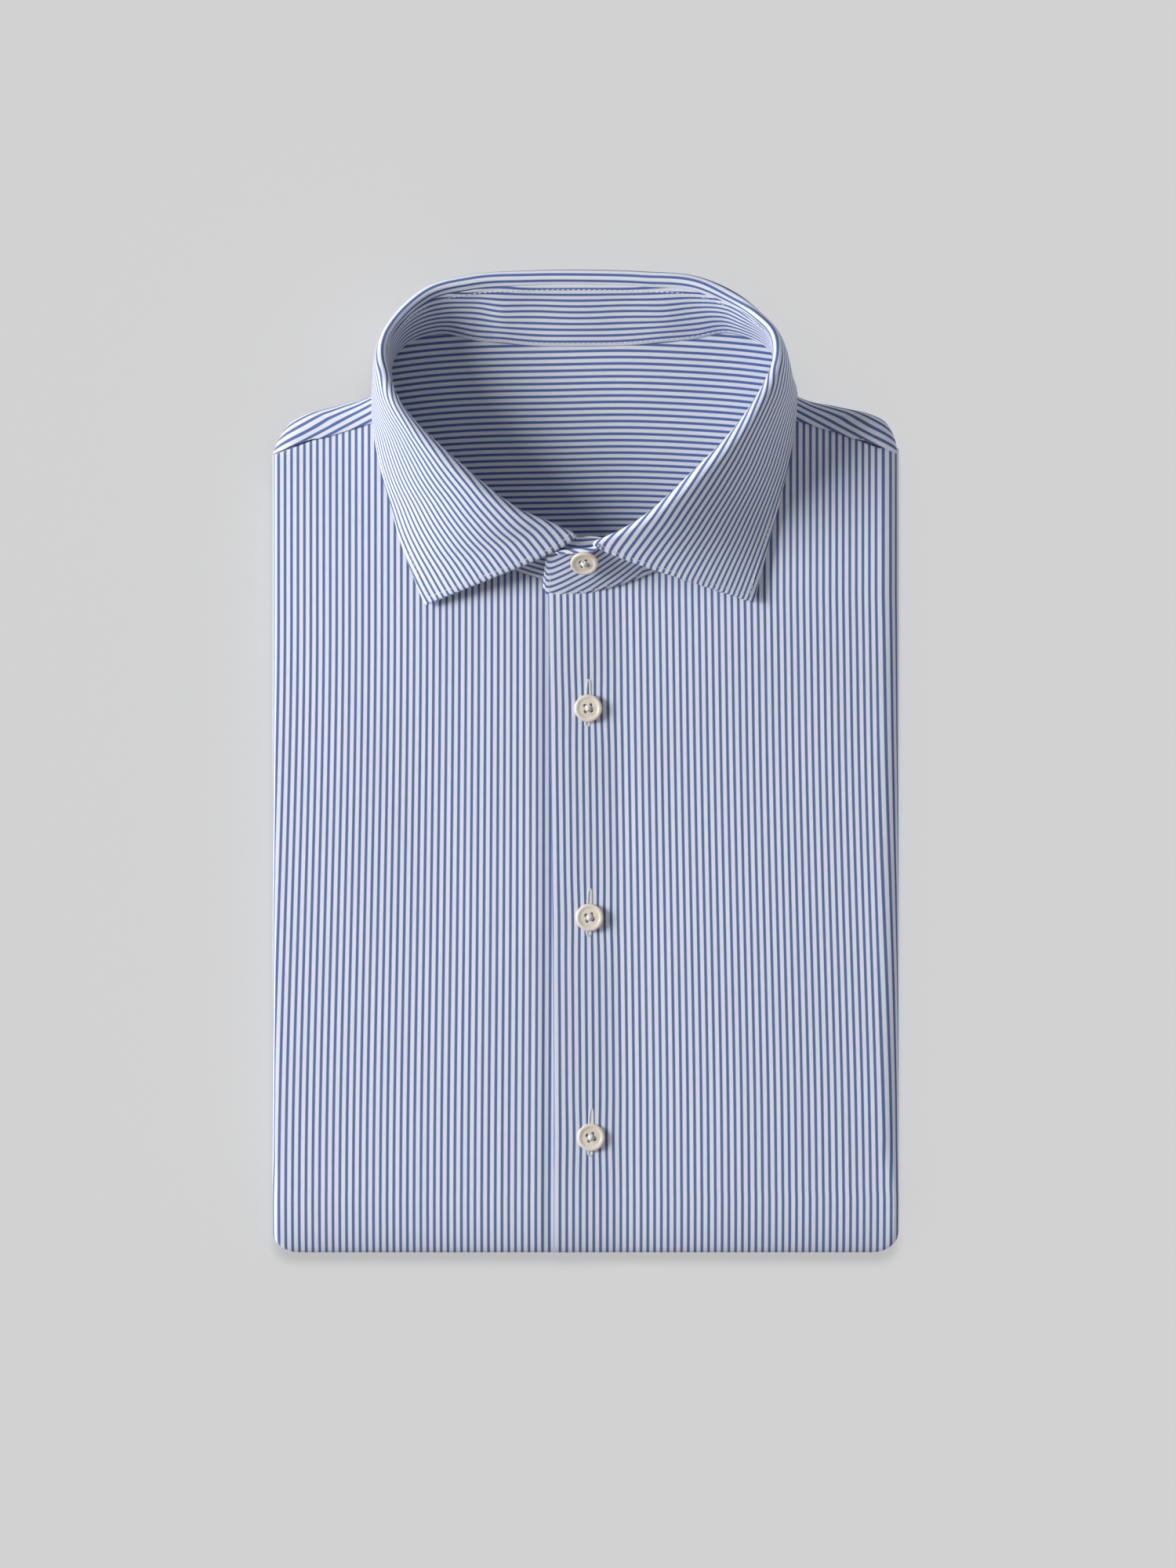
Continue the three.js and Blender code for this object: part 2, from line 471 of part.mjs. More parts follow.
// One section of the leaf: up inside the roll, round the fold and down to the outer edge.
function leafSection(row, { up, out }) {
  const heading = (angle) => up.clone().multiplyScalar(Math.cos(angle)).addScaledVector(out, Math.sin(angle));
  const swell = THREE.MathUtils.degToRad(row.swell);
  const fall = row.edge.clone().sub(row.roll);
  const leave = Math.atan2(fall.dot(out), fall.dot(up)) - swell;
  const centre = row.roll.clone().addScaledVector(up, -row.fold).addScaledVector(out, row.fold);
  const points = [row.roll.clone().addScaledVector(up, SEAM_GAP - STAND_TOP_BELOW_ROLL)];
  for (const angle of spread(0, leave, 5)) {
    points.push(centre.clone().addScaledVector(heading(angle - Math.PI / 2), row.fold));
  }
  const from = points[points.length - 1];
  const chord = row.edge.clone().sub(from);
  const length = chord.length();
  chord.normalize();
  const outside = out.clone().addScaledVector(chord, -out.dot(chord)).normalize();
  const arrive = chord.clone().multiplyScalar(Math.cos(swell)).addScaledVector(outside, -Math.sin(swell));
  const straight = chord.dot(heading(leave)) ** 2;
  const curve = new THREE.CubicBezierCurve3(
    from,
    from.clone().addScaledVector(heading(leave), 0.37 * length * straight),
    row.edge.clone().addScaledVector(arrive, -0.37 * length),
    row.edge,
  );
  return [...points, ...curve.getPoints(6).slice(1)];
}

function collarLeaf() {
  const rows = collarRows();
  return clothWall(rows.map((row, i) => leafSection(row, collarFrame(rows, i))), -1);
}

function collarStand() {
  const ends = (rows) => rows.map((row) => ({ seam: vec(row.seam), top: vec(row.top) }));
  const round = collarRows().map((row) => ({
    seam: row.seam,
    top: row.roll.clone().addScaledVector(upTheStand(row), -STAND_TOP_BELOW_ROLL),
  }));
  const rows = [...ends(STAND_LEFT_END), ...round, ...ends(STAND_RIGHT_END)];
  const grid = rows.map((row) => [0, 0.33, 0.66, 1].map((t) => row.seam.clone().lerp(row.top, t)));
  return clothWall(grid, -1);
}

// ---------------------------------------------------------------- buttons
function solidOf(geometry) {
  const bare = geometry.clone();
  bare.deleteAttribute('normal');
  bare.deleteAttribute('uv');
  const merged = mergeVertices(bare, 1e-4);
  const corners = merged.index.array;
  const kept = [];
  for (let i = 0; i < corners.length; i += 3) {
    const [a, b, c] = [corners[i], corners[i + 1], corners[i + 2]];
    if (a !== b && b !== c && c !== a) kept.push(a, b, c);
  }
  return new wasm.Manifold(new wasm.Mesh({
    numProp: 3,
    vertProperties: merged.attributes.position.array,
    triVerts: Uint32Array.from(kept),
  }));
}

function geometryOf(solid) {
  const mesh = solid.getMesh();
  const geometry = new THREE.BufferGeometry();
  geometry.setAttribute('position', new THREE.Float32BufferAttribute(mesh.vertProperties, 3));
  geometry.setIndex([...mesh.triVerts]);
  return geometry;
}

// A four-hole button on its back: a rounded rim round a dished face.
function buttonShape() {
  const { radius, thickness, dish, holeRadius, holePitch } = BUTTON;
  const profile = [
    [0, 0], [radius - 1.1, 0], [radius - 0.3, 0.5], [radius, 1.3], [radius - 0.1, 2.1],
    [radius - 0.6, thickness - 0.2], [radius - 1.2, thickness], [radius - 1.8, thickness - 0.25],
    [radius - 2.3, thickness - dish], [0, thickness - dish - 0.1],
  ].map(([r, z]) => new THREE.Vector2(r, z));
  const disc = new THREE.LatheGeometry(profile, 24).rotateX(Math.PI / 2);
  let solid = solidOf(disc);
  for (const [sx, sy] of [[1, 1], [1, -1], [-1, -1], [-1, 1]]) {
    const hole = new THREE.CylinderGeometry(holeRadius, holeRadius, 3 * thickness, 8).rotateX(Math.PI / 2);
    hole.translate(sx * holePitch, sy * holePitch, 0);
    solid = solid.subtract(solidOf(hole));
  }
  return geometryOf(solid);
}

// ---------------------------------------------------------------- the scene graph
const shirt = new THREE.Group();
const cloth = (color) => new THREE.MeshStandardMaterial({ color, roughness: 0.85, metalness: 0 });
const stripedCloth = cloth(0xa9b5cf);
const shadedCloth = cloth(0x93a0bd);
const buttonCream = new THREE.MeshStandardMaterial({ color: 0xdcd4c6, roughness: 0.35, metalness: 0 });

function add(name, geometry, material) {
  const mesh = new THREE.Mesh(geometry, material);
  mesh.name = name;
  shirt.add(mesh);
  return mesh;
}

add('folded_layers', foldedLayers(), shadedCloth);
add('front_left', leftFront(), stripedCloth);
add('front_right', rightFront(), stripedCloth);
add('yoke_left', shoulderStrip(SHOULDER_LEFT, 1), stripedCloth);
add('yoke_right', shoulderStrip(SHOULDER_RIGHT, -1), stripedCloth);
add('yoke_lining', liningSheet(), shadedCloth);
add('collar_stand', collarStand(), stripedCloth);
add('collar_leaf', collarLeaf(), stripedCloth);

for (const { name, x, y } of PLACKET_BUTTONS) {
  add(name, buttonShape(), buttonCream).position.set(x, y, chestHeight(x, y) + SEAM_GAP);
}

// The collar button lies on the sloping front of the stand.
const standFront = STAND_LEFT_END[STAND_LEFT_END.length - 1];
const standSlope = vec(standFront.top).sub(vec(standFront.seam));
const upSlope = (COLLAR_BUTTON.y - standFront.seam[1]) / standSlope.y;
const collarButton = add('button_collar', buttonShape(), buttonCream);
collarButton.rotation.x = Math.atan2(standSlope.z, standSlope.y);
collarButton.position.set(COLLAR_BUTTON.x, COLLAR_BUTTON.y, standFront.seam[2] + standSlope.z * upSlope);
collarButton.translateZ(CLOTH + 4 * SEAM_GAP);

export default shirt;
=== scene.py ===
"""A striped dress shirt, buttoned to the neck, pressed and folded flat.

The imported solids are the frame. Each cloth piece is built again as a thin sewn shell on its
solid's form, with its cut laid out in a UV map, so that stripes and weave follow the cloth.
Tables are in millimetres, as the maker measures, and turn into metres where meshes are made.
+Z is up, +Y runs toward the collar, and "left" and "right" are the wearer's: the left front
lies on the +X side.
"""

from __future__ import annotations

import logging
import math
import random
from dataclasses import dataclass, field
from enum import Enum
from typing import Callable, Sequence

import bpy
import numpy as np
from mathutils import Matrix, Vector

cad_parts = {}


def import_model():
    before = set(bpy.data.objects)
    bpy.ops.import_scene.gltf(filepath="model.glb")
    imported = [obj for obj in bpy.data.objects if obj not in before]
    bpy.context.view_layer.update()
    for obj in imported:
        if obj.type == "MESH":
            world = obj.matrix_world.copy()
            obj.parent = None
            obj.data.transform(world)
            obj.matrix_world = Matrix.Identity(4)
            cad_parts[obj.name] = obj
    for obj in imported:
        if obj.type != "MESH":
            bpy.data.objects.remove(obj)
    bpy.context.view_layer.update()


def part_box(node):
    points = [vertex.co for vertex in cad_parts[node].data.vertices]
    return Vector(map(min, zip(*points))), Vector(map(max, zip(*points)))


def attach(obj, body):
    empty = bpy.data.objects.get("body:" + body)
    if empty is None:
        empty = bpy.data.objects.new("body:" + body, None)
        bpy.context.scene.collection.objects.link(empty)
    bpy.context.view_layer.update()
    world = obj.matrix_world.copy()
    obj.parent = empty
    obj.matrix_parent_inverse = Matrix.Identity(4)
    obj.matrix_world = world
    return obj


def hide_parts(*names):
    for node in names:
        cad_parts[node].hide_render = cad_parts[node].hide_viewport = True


LOG = logging.getLogger("shirt")
MM = 0.001
CUT_MAP = "cut"
MAP_UNITS = 10  # units of the cut map to a metre of cloth
MAP_UNIT_MM = 100.0  # millimetres of cloth to a unit of the cut map
Array = np.ndarray
Point2 = tuple[float, float]
Row = tuple[float, ...]

# ------------------------------------------------------------------ shared sizes of the fold
HALF_WIDTH = 127.0
BOTTOM_Y = -199.1
SPINE_RADIUS = 8.0
SPINE_Y = BOTTOM_Y + SPINE_RADIUS
CORNER_RADIUS = 8.0
CROWN = 1.4
NECK_RISE = 0.6
RIDGE_SOFTNESS = 64.0
SLOPE_REACH = 121.0
CHEST_FOLD = (8.0, 4.4)
BOTTOM_REACH = 26.0
TAIL_FOLD = (2.8, 2.2)
LINING_TOP = 10.6
STRIPE_PITCH = 2.72
LEFT_EDGE_X = -14.9  # the left front's placket edge at the neck
RIGHT_EDGE_X = 12.0  # how far the right front runs on beneath it

NECK_EDGE: tuple[Point2, ...] = (
    (14, 70.4), (21, 72.8), (28, 75.6), (36, 80.0), (46, 87.0), (54, 94.0), (60, 99.9), (65, 106.5),
    (69, 113.8), (72.5, 121.7), (75.3, 131.5), (77.5, 140.8), (90, 137.3), (108, 131.2), (126.4, 124.2),
)
PLACKET_BUTTONS: tuple[Point2, ...] = ((1.05, 21.8), (1.6, -63.0), (2.2, -152.1))


# ------------------------------------------------------------------ small mathematics
def smooth(low: float, high: float, value: Array | float) -> Array:
    """Rises softly from 0 at low to 1 at high; falls if low is the larger."""
    t = np.clip((np.asarray(value, float) - low) / (high - low), 0.0, 1.0)
    return t * t * (3.0 - 2.0 * t)


def through(knots: Sequence[float], rows: Array, at: Array) -> Array:
    """A smooth curve through rows of numbers.

    Args:
        knots: a rising place for each row.
        rows: the numbers at each knot, a row each.
        at: the places to read.

    Returns:
        A row of numbers for each place.
    """
    knots, rows, at = np.asarray(knots, float), np.asarray(rows, float), np.asarray(at, float)
    slopes = np.gradient(rows, knots, axis=0)
    i = np.clip(np.searchsorted(knots, at, side="right") - 1, 0, len(knots) - 2)
    step = (knots[i + 1] - knots[i])[:, None]
    t = (at[:, None] - knots[i][:, None]) / step
    flat = rows.reshape(len(knots), -1)
    tang = slopes.reshape(len(knots), -1)
    return (
        (2 * t**3 - 3 * t**2 + 1) * flat[i] + (t**3 - 2 * t**2 + t) * step * tang[i]
        + (3 * t**2 - 2 * t**3) * flat[i + 1] + (t**3 - t**2) * step * tang[i + 1]
    )


def unit(vectors: Array) -> Array:
    """The same vectors, each of length 1."""
    return vectors / np.maximum(np.linalg.norm(vectors, axis=-1, keepdims=True), 1e-12)


def lengths_along(points: Array) -> Array:
    """The distance run along a line of points, 0 at its first."""
    steps = np.linalg.norm(np.diff(points, axis=0), axis=-1)
    return np.concatenate([[0.0], np.cumsum(steps)])


def resampled(points: Array, at: Array) -> Array:
    """The points of a line at given distances along it."""
    run = lengths_along(points)
    return np.stack([np.interp(at, run, points[:, k]) for k in range(points.shape[1])], axis=1)


def chest_height(x: Array, y: Array) -> Array:
    """How high the solids' fronts lie."""
    across = 1.0 - (np.asarray(x) / HALF_WIDTH) ** 2
    return 2 * SPINE_RADIUS + across * (CROWN * smooth(-188, -110, y) + NECK_RISE * smooth(0, 70, y))


def pressed_height(x: Array, y: Array) -> Array:
    """How high the pressed cloth lies: two nearly flat slopes that fall from the placket."""
    across = 1.0 - np.sqrt(np.asarray(x) ** 2 + RIDGE_SOFTNESS) / SLOPE_REACH
    return 2 * SPINE_RADIUS + across * (CROWN * smooth(-190, -150, y) + NECK_RISE * smooth(0, 70, y))


def neck_edge(x: Array) -> Array:
    """Where a front's neck and shoulder edge lies, for a distance out from the middle."""
    table = np.array(NECK_EDGE)
    return np.interp(x, table[:, 0], table[:, 1])


# ------------------------------------------------------------------ creases placed one by one
@dataclass(frozen=True)
class Crease:
    """A soft ridge or trough in pressed cloth, drawn in plan; a negative height is a trough."""

    path: tuple[Point2, ...]
    height: float
    width: float

    def relief(self, x: Array, y: Array) -> Array:
        """How much the crease lifts the cloth at each place.

        Args:
            x: places across.
            y: places along.

        Returns:
            The lift in millimetres, fading out at both ends of the path.
        """
        nearest = np.full(np.shape(x), np.inf)
        share = np.zeros(np.shape(x))
        points = np.array(self.path)
        run = lengths_along(points)
        for i in range(len(points) - 1):
            a, d = points[i], points[i + 1] - points[i]
            t = np.clip(((x - a[0]) * d[0] + (y - a[1]) * d[1]) / (d @ d), 0, 1)
            away = np.hypot(x - a[0] - t * d[0], y - a[1] - t * d[1])
            closer = away < nearest
            nearest = np.where(closer, away, nearest)
            share = np.where(closer, (run[i] + t * (run[i + 1] - run[i])) / run[-1], share)
        fade = np.sin(np.pi * np.clip(share, 0, 1)) ** 0.8
        return self.height * np.exp(-((nearest / self.width) ** 2)) * fade


def relief_of(creases: Sequence[Crease], x: Array, y: Array) -> Array:
    """The sum of several creases' lift.

    Args:
        creases: the creases.
        x: places across.
        y: places along.

    Returns:
        The lift at each place.
    """
    total = np.zeros(np.broadcast(x, y).shape)
    for crease in creases:
        total = total + crease.relief(x, y)
    return total


# ------------------------------------------------------------------ meshes
@dataclass
class Panel:
    """A grid of points on one face of a cloth, with its place in the flat cut at each."""

    points: Array
    cut: Array
    sign: float = 1.0
    white_edge: bool = False

    def normals(self) -> Array:
        """Finds the way out of the cloth on the grid's face.

        Returns:
            A unit normal for each point.
        """
        along = np.gradient(self.points, axis=0)
        across = np.gradient(self.points, axis=1)
        return unit(np.cross(along, across)) * self.sign

    def shell(self, name: str, thickness: float) -> bpy.types.Object:
        """Closes the panel into a thin shell with rounded raw edges.

        Args:
            name: the piece's name.
            thickness: the cloth's thickness.

        Returns:
            The new object, in metres, with the cut as its UV map.
        """
        rows, columns = self.points.shape[:2]
        normals = self.normals()
        inner = self.points - normals * thickness
        size = rows * columns
        loop = [(0, j) for j in range(columns)] + [(i, columns - 1) for i in range(1, rows)]
        loop += [(rows - 1, j) for j in range(columns - 2, -1, -1)]
        loop += [(i, 0) for i in range(rows - 2, 0, -1)]
        out = []
        for i, j in loop:
            inside = self.points[min(max(i, 1), rows - 2), min(max(j, 1), columns - 2)]
            push = unit(self.points[i, j] - inside)
            out.append(self.points[i, j] - normals[i, j] * thickness / 2 + push * thickness * 0.45)
        vertices = np.concatenate([self.points.reshape(-1, 3), inner.reshape(-1, 3), np.array(out)])
        edge_cut = np.array([self.cut[i, j] for i, j in loop])
        if self.white_edge:
            edge_cut[:, 0] = (np.round(edge_cut[:, 0] / STRIPE_PITCH - 0.5) + 0.5) * STRIPE_PITCH
        cut = np.concatenate([self.cut.reshape(-1, 2)] * 2 + [edge_cut])
        index = np.arange(size).reshape(rows, columns)
        a, b, c, d = index[:-1, :-1], index[:-1, 1:], index[1:, 1:], index[1:, :-1]
        top = np.stack([a, b, c, d], axis=-1).reshape(-1, 4)
        under = np.stack([a, d, c, b], axis=-1).reshape(-1, 4) + size
        if self.sign > 0:
            top, under = top[:, ::-1], under[:, ::-1]
        edge = np.array([index[i, j] for i, j in loop])
        rim = np.arange(len(loop)) + 2 * size
        after, rim_after = np.roll(edge, -1), np.roll(rim, -1)
        upper = np.stack([edge, rim, rim_after, after], axis=-1)
        lower = np.stack([edge + size, after + size, rim_after, rim], axis=-1)
        if self.sign > 0:
            upper, lower = upper[:, ::-1], lower[:, ::-1]
        faces = np.concatenate([top, under, upper, lower])
        return mesh_object(name, vertices, faces, cut)


def mesh_object(
    name: str, vertices: Array, faces: Array | list, cut: Array | None = None
) -> bpy.types.Object:
    """Makes a smooth-shaded object from millimetre points.

    Args:
        name: the piece's name.
        vertices: a point a row, in millimetres.
        faces: corner numbers of each face.
        cut: each point's place in the flat cut, in millimetres.

    Returns:
        The object, linked to the scene.
    """
    mesh = bpy.data.meshes.new(name)
    mesh.from_pydata((np.asarray(vertices) * MM).tolist(), [], [list(map(int, face)) for face in faces])
    mesh.shade_smooth()
    if cut is not None:
        corner = np.empty(len(mesh.loops), dtype=np.int32)
        mesh.loops.foreach_get("vertex_index", corner)
        layer = mesh.uv_layers.new(name=CUT_MAP)
        layer.data.foreach_set("uv", (cut[corner] * MM * MAP_UNITS).astype(np.float32).ravel())
    piece = bpy.data.objects.new(name, mesh)
    bpy.context.scene.collection.objects.link(piece)
    return piece


@dataclass
class Threads:
    """Sewing thread, gathered strand by strand into one mesh."""

    sides: int = 6
    tip: float = 0.35
    vertices: list = field(default_factory=list)
    faces: list = field(default_factory=list)

    def strand(self, path: Array, radius: float) -> None:
        """Adds a round strand with narrowed ends.

        Args:
            path: three or more points along the strand's middle.
            radius: the strand's radius.
        """
        path = np.asarray(path, float)
        tangents = unit(np.gradient(path, axis=0))
        start = len(self.vertices)
        swells = np.concatenate([[self.tip], np.ones(len(path) - 2), [self.tip]])
        unlike_any_strand = (0.13, 0.21, 1.0)
        for p, t, swell in zip(path, tangents, swells):
            side = np.cross(t, unlike_any_strand)
            side /= np.linalg.norm(side)
            up = np.cross(side, t)
            for k in range(self.sides):
                angle = 2 * math.pi * k / self.sides
                self.vertices.append(p + radius * swell * (math.cos(angle) * side + math.sin(angle) * up))
        for i in range(len(path) - 1):
            for k in range(self.sides):
                a, b = start + i * self.sides + k, start + i * self.sides + (k + 1) % self.sides
                self.faces.append((a, b, b + self.sides, a + self.sides))
        self.faces.append(tuple(range(start + self.sides - 1, start - 1, -1)))
        last = start + (len(path) - 1) * self.sides
        self.faces.append(tuple(range(last, last + self.sides)))

    def stitches(self, line: Array, up: Array, length: float, gap: float, radius: float) -> None:
        """Sews a run of stitches along a line.

        Args:
            line: points along the seam, on the cloth.
            up: the way out of the cloth at each point.
            length: a stitch's length.
            gap: the space to the next one.
            radius: the thread's radius.
        """
        run = lengths_along(line)
        count = max(int(run[-1] / (length + gap)), 1)
        pitch = run[-1] / count
        for i in range(count):
            at = i * pitch + pitch * 0.5 + (pitch - gap) * np.array([-0.5, -0.38, 0.0, 0.38, 0.5])
            lift = radius * np.array([-1.1, 0.1, 0.55, 0.1, -1.1])
            points = resampled(line, at)
            ups = np.stack([np.interp(at, run, up[:, k]) for k in range(3)], axis=1)
            self.strand(points + unit(ups) * lift[:, None], radius)

    def made(self, name: str) -> bpy.types.Object:
        """The gathered strands as one object."""
        return mesh_object(name, np.array(self.vertices), self.faces)


# ------------------------------------------------------------------ shader graphs
class Graph:
    """Short ways to place and link the nodes of one tree."""

    def __init__(self, tree: bpy.types.NodeTree) -> None:
        """Works on the given tree."""
        self.tree = tree

    def node(self, kind: str, **settings: object) -> bpy.types.Node:
        """Places a node and sets its properties.

        Args:
            kind: Blender's type of node.
            settings: its properties by name.

        Returns:
            The node.
        """
        made = self.tree.nodes.new(kind)
        for key, value in settings.items():
            setattr(made, key, value)
        return made

    def feed(self, socket: bpy.types.NodeSocket, value: object) -> None:
        """Links a socket to another, or sets it to a plain value.

        Args:
            socket: the input to feed.
            value: a socket or a plain value.
        """
        if isinstance(value, bpy.types.NodeSocket):
            self.tree.links.new(value, socket)
        else:
            socket.default_value = value

    def math(self, operation: str, *values: object) -> bpy.types.NodeSocket:
        """Places a Math node.

        Args:
            operation: Blender's name for the sum.
            values: sockets or plain numbers.

        Returns:
            The result's socket.
        """
        made = self.node("ShaderNodeMath", operation=operation)
        for socket, value in zip(made.inputs, values):
            self.feed(socket, value)
        return made.outputs[0]

    def remap(
        self, value: object, low: float, high: float, to_low: float, to_high: float
    ) -> bpy.types.NodeSocket:
        """A soft step of a value from one range into another.

        Args:
            value: the socket or number to read.
            low: where the first range starts.
            high: where it ends.
            to_low: what low becomes.
            to_high: what high becomes.

        Returns:
            The result's socket.
        """
        made = self.node("ShaderNodeMapRange", interpolation_type="SMOOTHSTEP")
        ends = {"From Min": low, "From Max": high, "To Min": to_low, "To Max": to_high}
        self.feed(made.inputs["Value"], value)
        for name, end in ends.items():
            self.feed(made.inputs[name], end)
        return made.outputs[0]

    def mixed(
        self, share: object, first: object, second: object, blend: str = "MIX"
    ) -> bpy.types.NodeSocket:
        """A colour mix; sockets 6 and 7 and result 2 are the Mix node's colour ones.

        Args:
            share: how much of the second shows.
            first: a socket or a plain colour.
            second: the same, laid over the first.
            blend: Blender's kind of blend.

        Returns:
            The mixed colour's socket.
        """
        made = self.node("ShaderNodeMix", data_type="RGBA", blend_type=blend)
        self.feed(made.inputs[0], share)
        self.feed(made.inputs[6], first)
        self.feed(made.inputs[7], second)
        return made.outputs[2]

    def noise(self, vector: object, scale: float, detail: float = 2.0) -> bpy.types.NodeSocket:
        """Places a noise texture.

        Args:
            vector: the socket that says where.
            scale: how many turns to a unit of the vector.
            detail: how many finer layers are added.

        Returns:
            A socket between 0 and 1.
        """
        made = self.node("ShaderNodeTexNoise")
        self.feed(made.inputs["Vector"], vector)
        made.inputs["Scale"].default_value = scale
        made.inputs["Detail"].default_value = detail
        return made.outputs[0]


def new_group(
    name: str, inputs: dict[str, float], outputs: Sequence[str]
) -> tuple[Graph, bpy.types.Node, bpy.types.Node]:
    """Starts a shader node group of float sockets.

    Args:
        name: the group's name.
        inputs: each input with its usual value.
        outputs: the names of the outputs.

    Returns:
        The group's graph, its input node and its output node.
    """
    tree = bpy.data.node_groups.new(name, "ShaderNodeTree")
    for key, value in inputs.items():
        socket = tree.interface.new_socket(name=key, in_out="INPUT", socket_type="NodeSocketFloat")
        socket.default_value = value
    for key in outputs:
        tree.interface.new_socket(name=key, in_out="OUTPUT", socket_type="NodeSocketFloat")
    graph = Graph(tree)
    return graph, graph.node("NodeGroupInput"), graph.node("NodeGroupOutput")


def stripe_weave_group() -> bpy.types.NodeTree:
    """Woven stripes and twill.

    Returns:
        A group that puts out a blue mask with stepped edges, a pale hairline between two blue
        stripes, a twill height and a yarn shade.
    """
    graph, given, result = new_group(
        "Stripe weave",
        {"Across": 0.0, "Along": 0.0, "Pitch": 2.72, "Blue share": 0.42, "Tooth": 0.25, "Yarn": 0.66},
        ("Blue", "Hairline", "Twill", "Shade"),
    )
    across, along = given.outputs["Across"], given.outputs["Along"]
    turns = graph.math("DIVIDE", across, given.outputs["Pitch"])
    from_middle = graph.math("MULTIPLY", graph.math("PINGPONG", turns, 0.5), 2.0)
    yarns = graph.math("DIVIDE", along, given.outputs["Yarn"])
    slant = graph.math("ADD", yarns, graph.math("MULTIPLY", turns, 3.0))
    saw = graph.math("SUBTRACT", graph.math("MULTIPLY", graph.math("PINGPONG", slant, 0.5), 2.0), 0.5)
    wobble = graph.math("MULTIPLY", saw, given.outputs["Tooth"])
    edge = graph.math("ADD", graph.math("SUBTRACT", given.outputs["Blue share"], from_middle), wobble)
    graph.feed(result.inputs["Blue"], graph.remap(edge, -0.045, 0.045, 0.0, 1.0))
    graph.feed(result.inputs["Hairline"], graph.remap(from_middle, 0.84, 0.97, 0.0, 0.5))
    wave = graph.math("SINE", graph.math("MULTIPLY", slant, 2 * math.pi))
    graph.feed(result.inputs["Twill"], graph.math("MULTIPLY_ADD", wave, 0.5, 0.5))
    place = graph.node("ShaderNodeCombineXYZ")
    graph.feed(place.inputs[0], graph.math("MULTIPLY", across, 2.6))
    graph.feed(place.inputs[1], graph.math("MULTIPLY", along, 0.22))
    graph.feed(result.inputs["Shade"], graph.noise(place.outputs[0], 1.0, 3.0))
    return graph.tree


def handling_group() -> bpy.types.NodeTree:
    """What pressing and handling leave on cloth.

    Returns:
        A group that puts out broad unevenness and a fine nap.
    """
    graph, given, result = new_group("Handling", {"Broad": 9.0, "Fine": 900.0}, ("Broad", "Nap"))
    place = graph.node("ShaderNodeTexCoord").outputs["Object"]
    broad = graph.node("ShaderNodeTexNoise")
    fine = graph.node("ShaderNodeTexNoise")
    for made, key in ((broad, "Broad"), (fine, "Fine")):
        graph.feed(made.inputs["Vector"], place)
        graph.feed(made.inputs["Scale"], given.outputs[key])
        made.inputs["Detail"].default_value = 3.0
    graph.feed(result.inputs["Broad"], broad.outputs[0])
    graph.feed(result.inputs["Nap"], fine.outputs[0])
    return graph.tree


class Groups:
    """The shared node groups, each built once."""

    def __init__(self) -> None:
        """Builds them."""
        self.stripe_weave = stripe_weave_group()
        self.handling = handling_group()


def linear_part(share: float) -> float:
    """One part of a screen colour, 0 to 1, as a scene-linear value."""
    return share / 12.92 if share <= 0.04045 else ((share + 0.055) / 1.055) ** 2.4


def linear(red: float, green: float, blue: float) -> tuple[float, float, float, float]:
    """A screen colour of 0 to 255 as scene-linear values."""
    return (linear_part(red / 255), linear_part(green / 255), linear_part(blue / 255), 1.0)


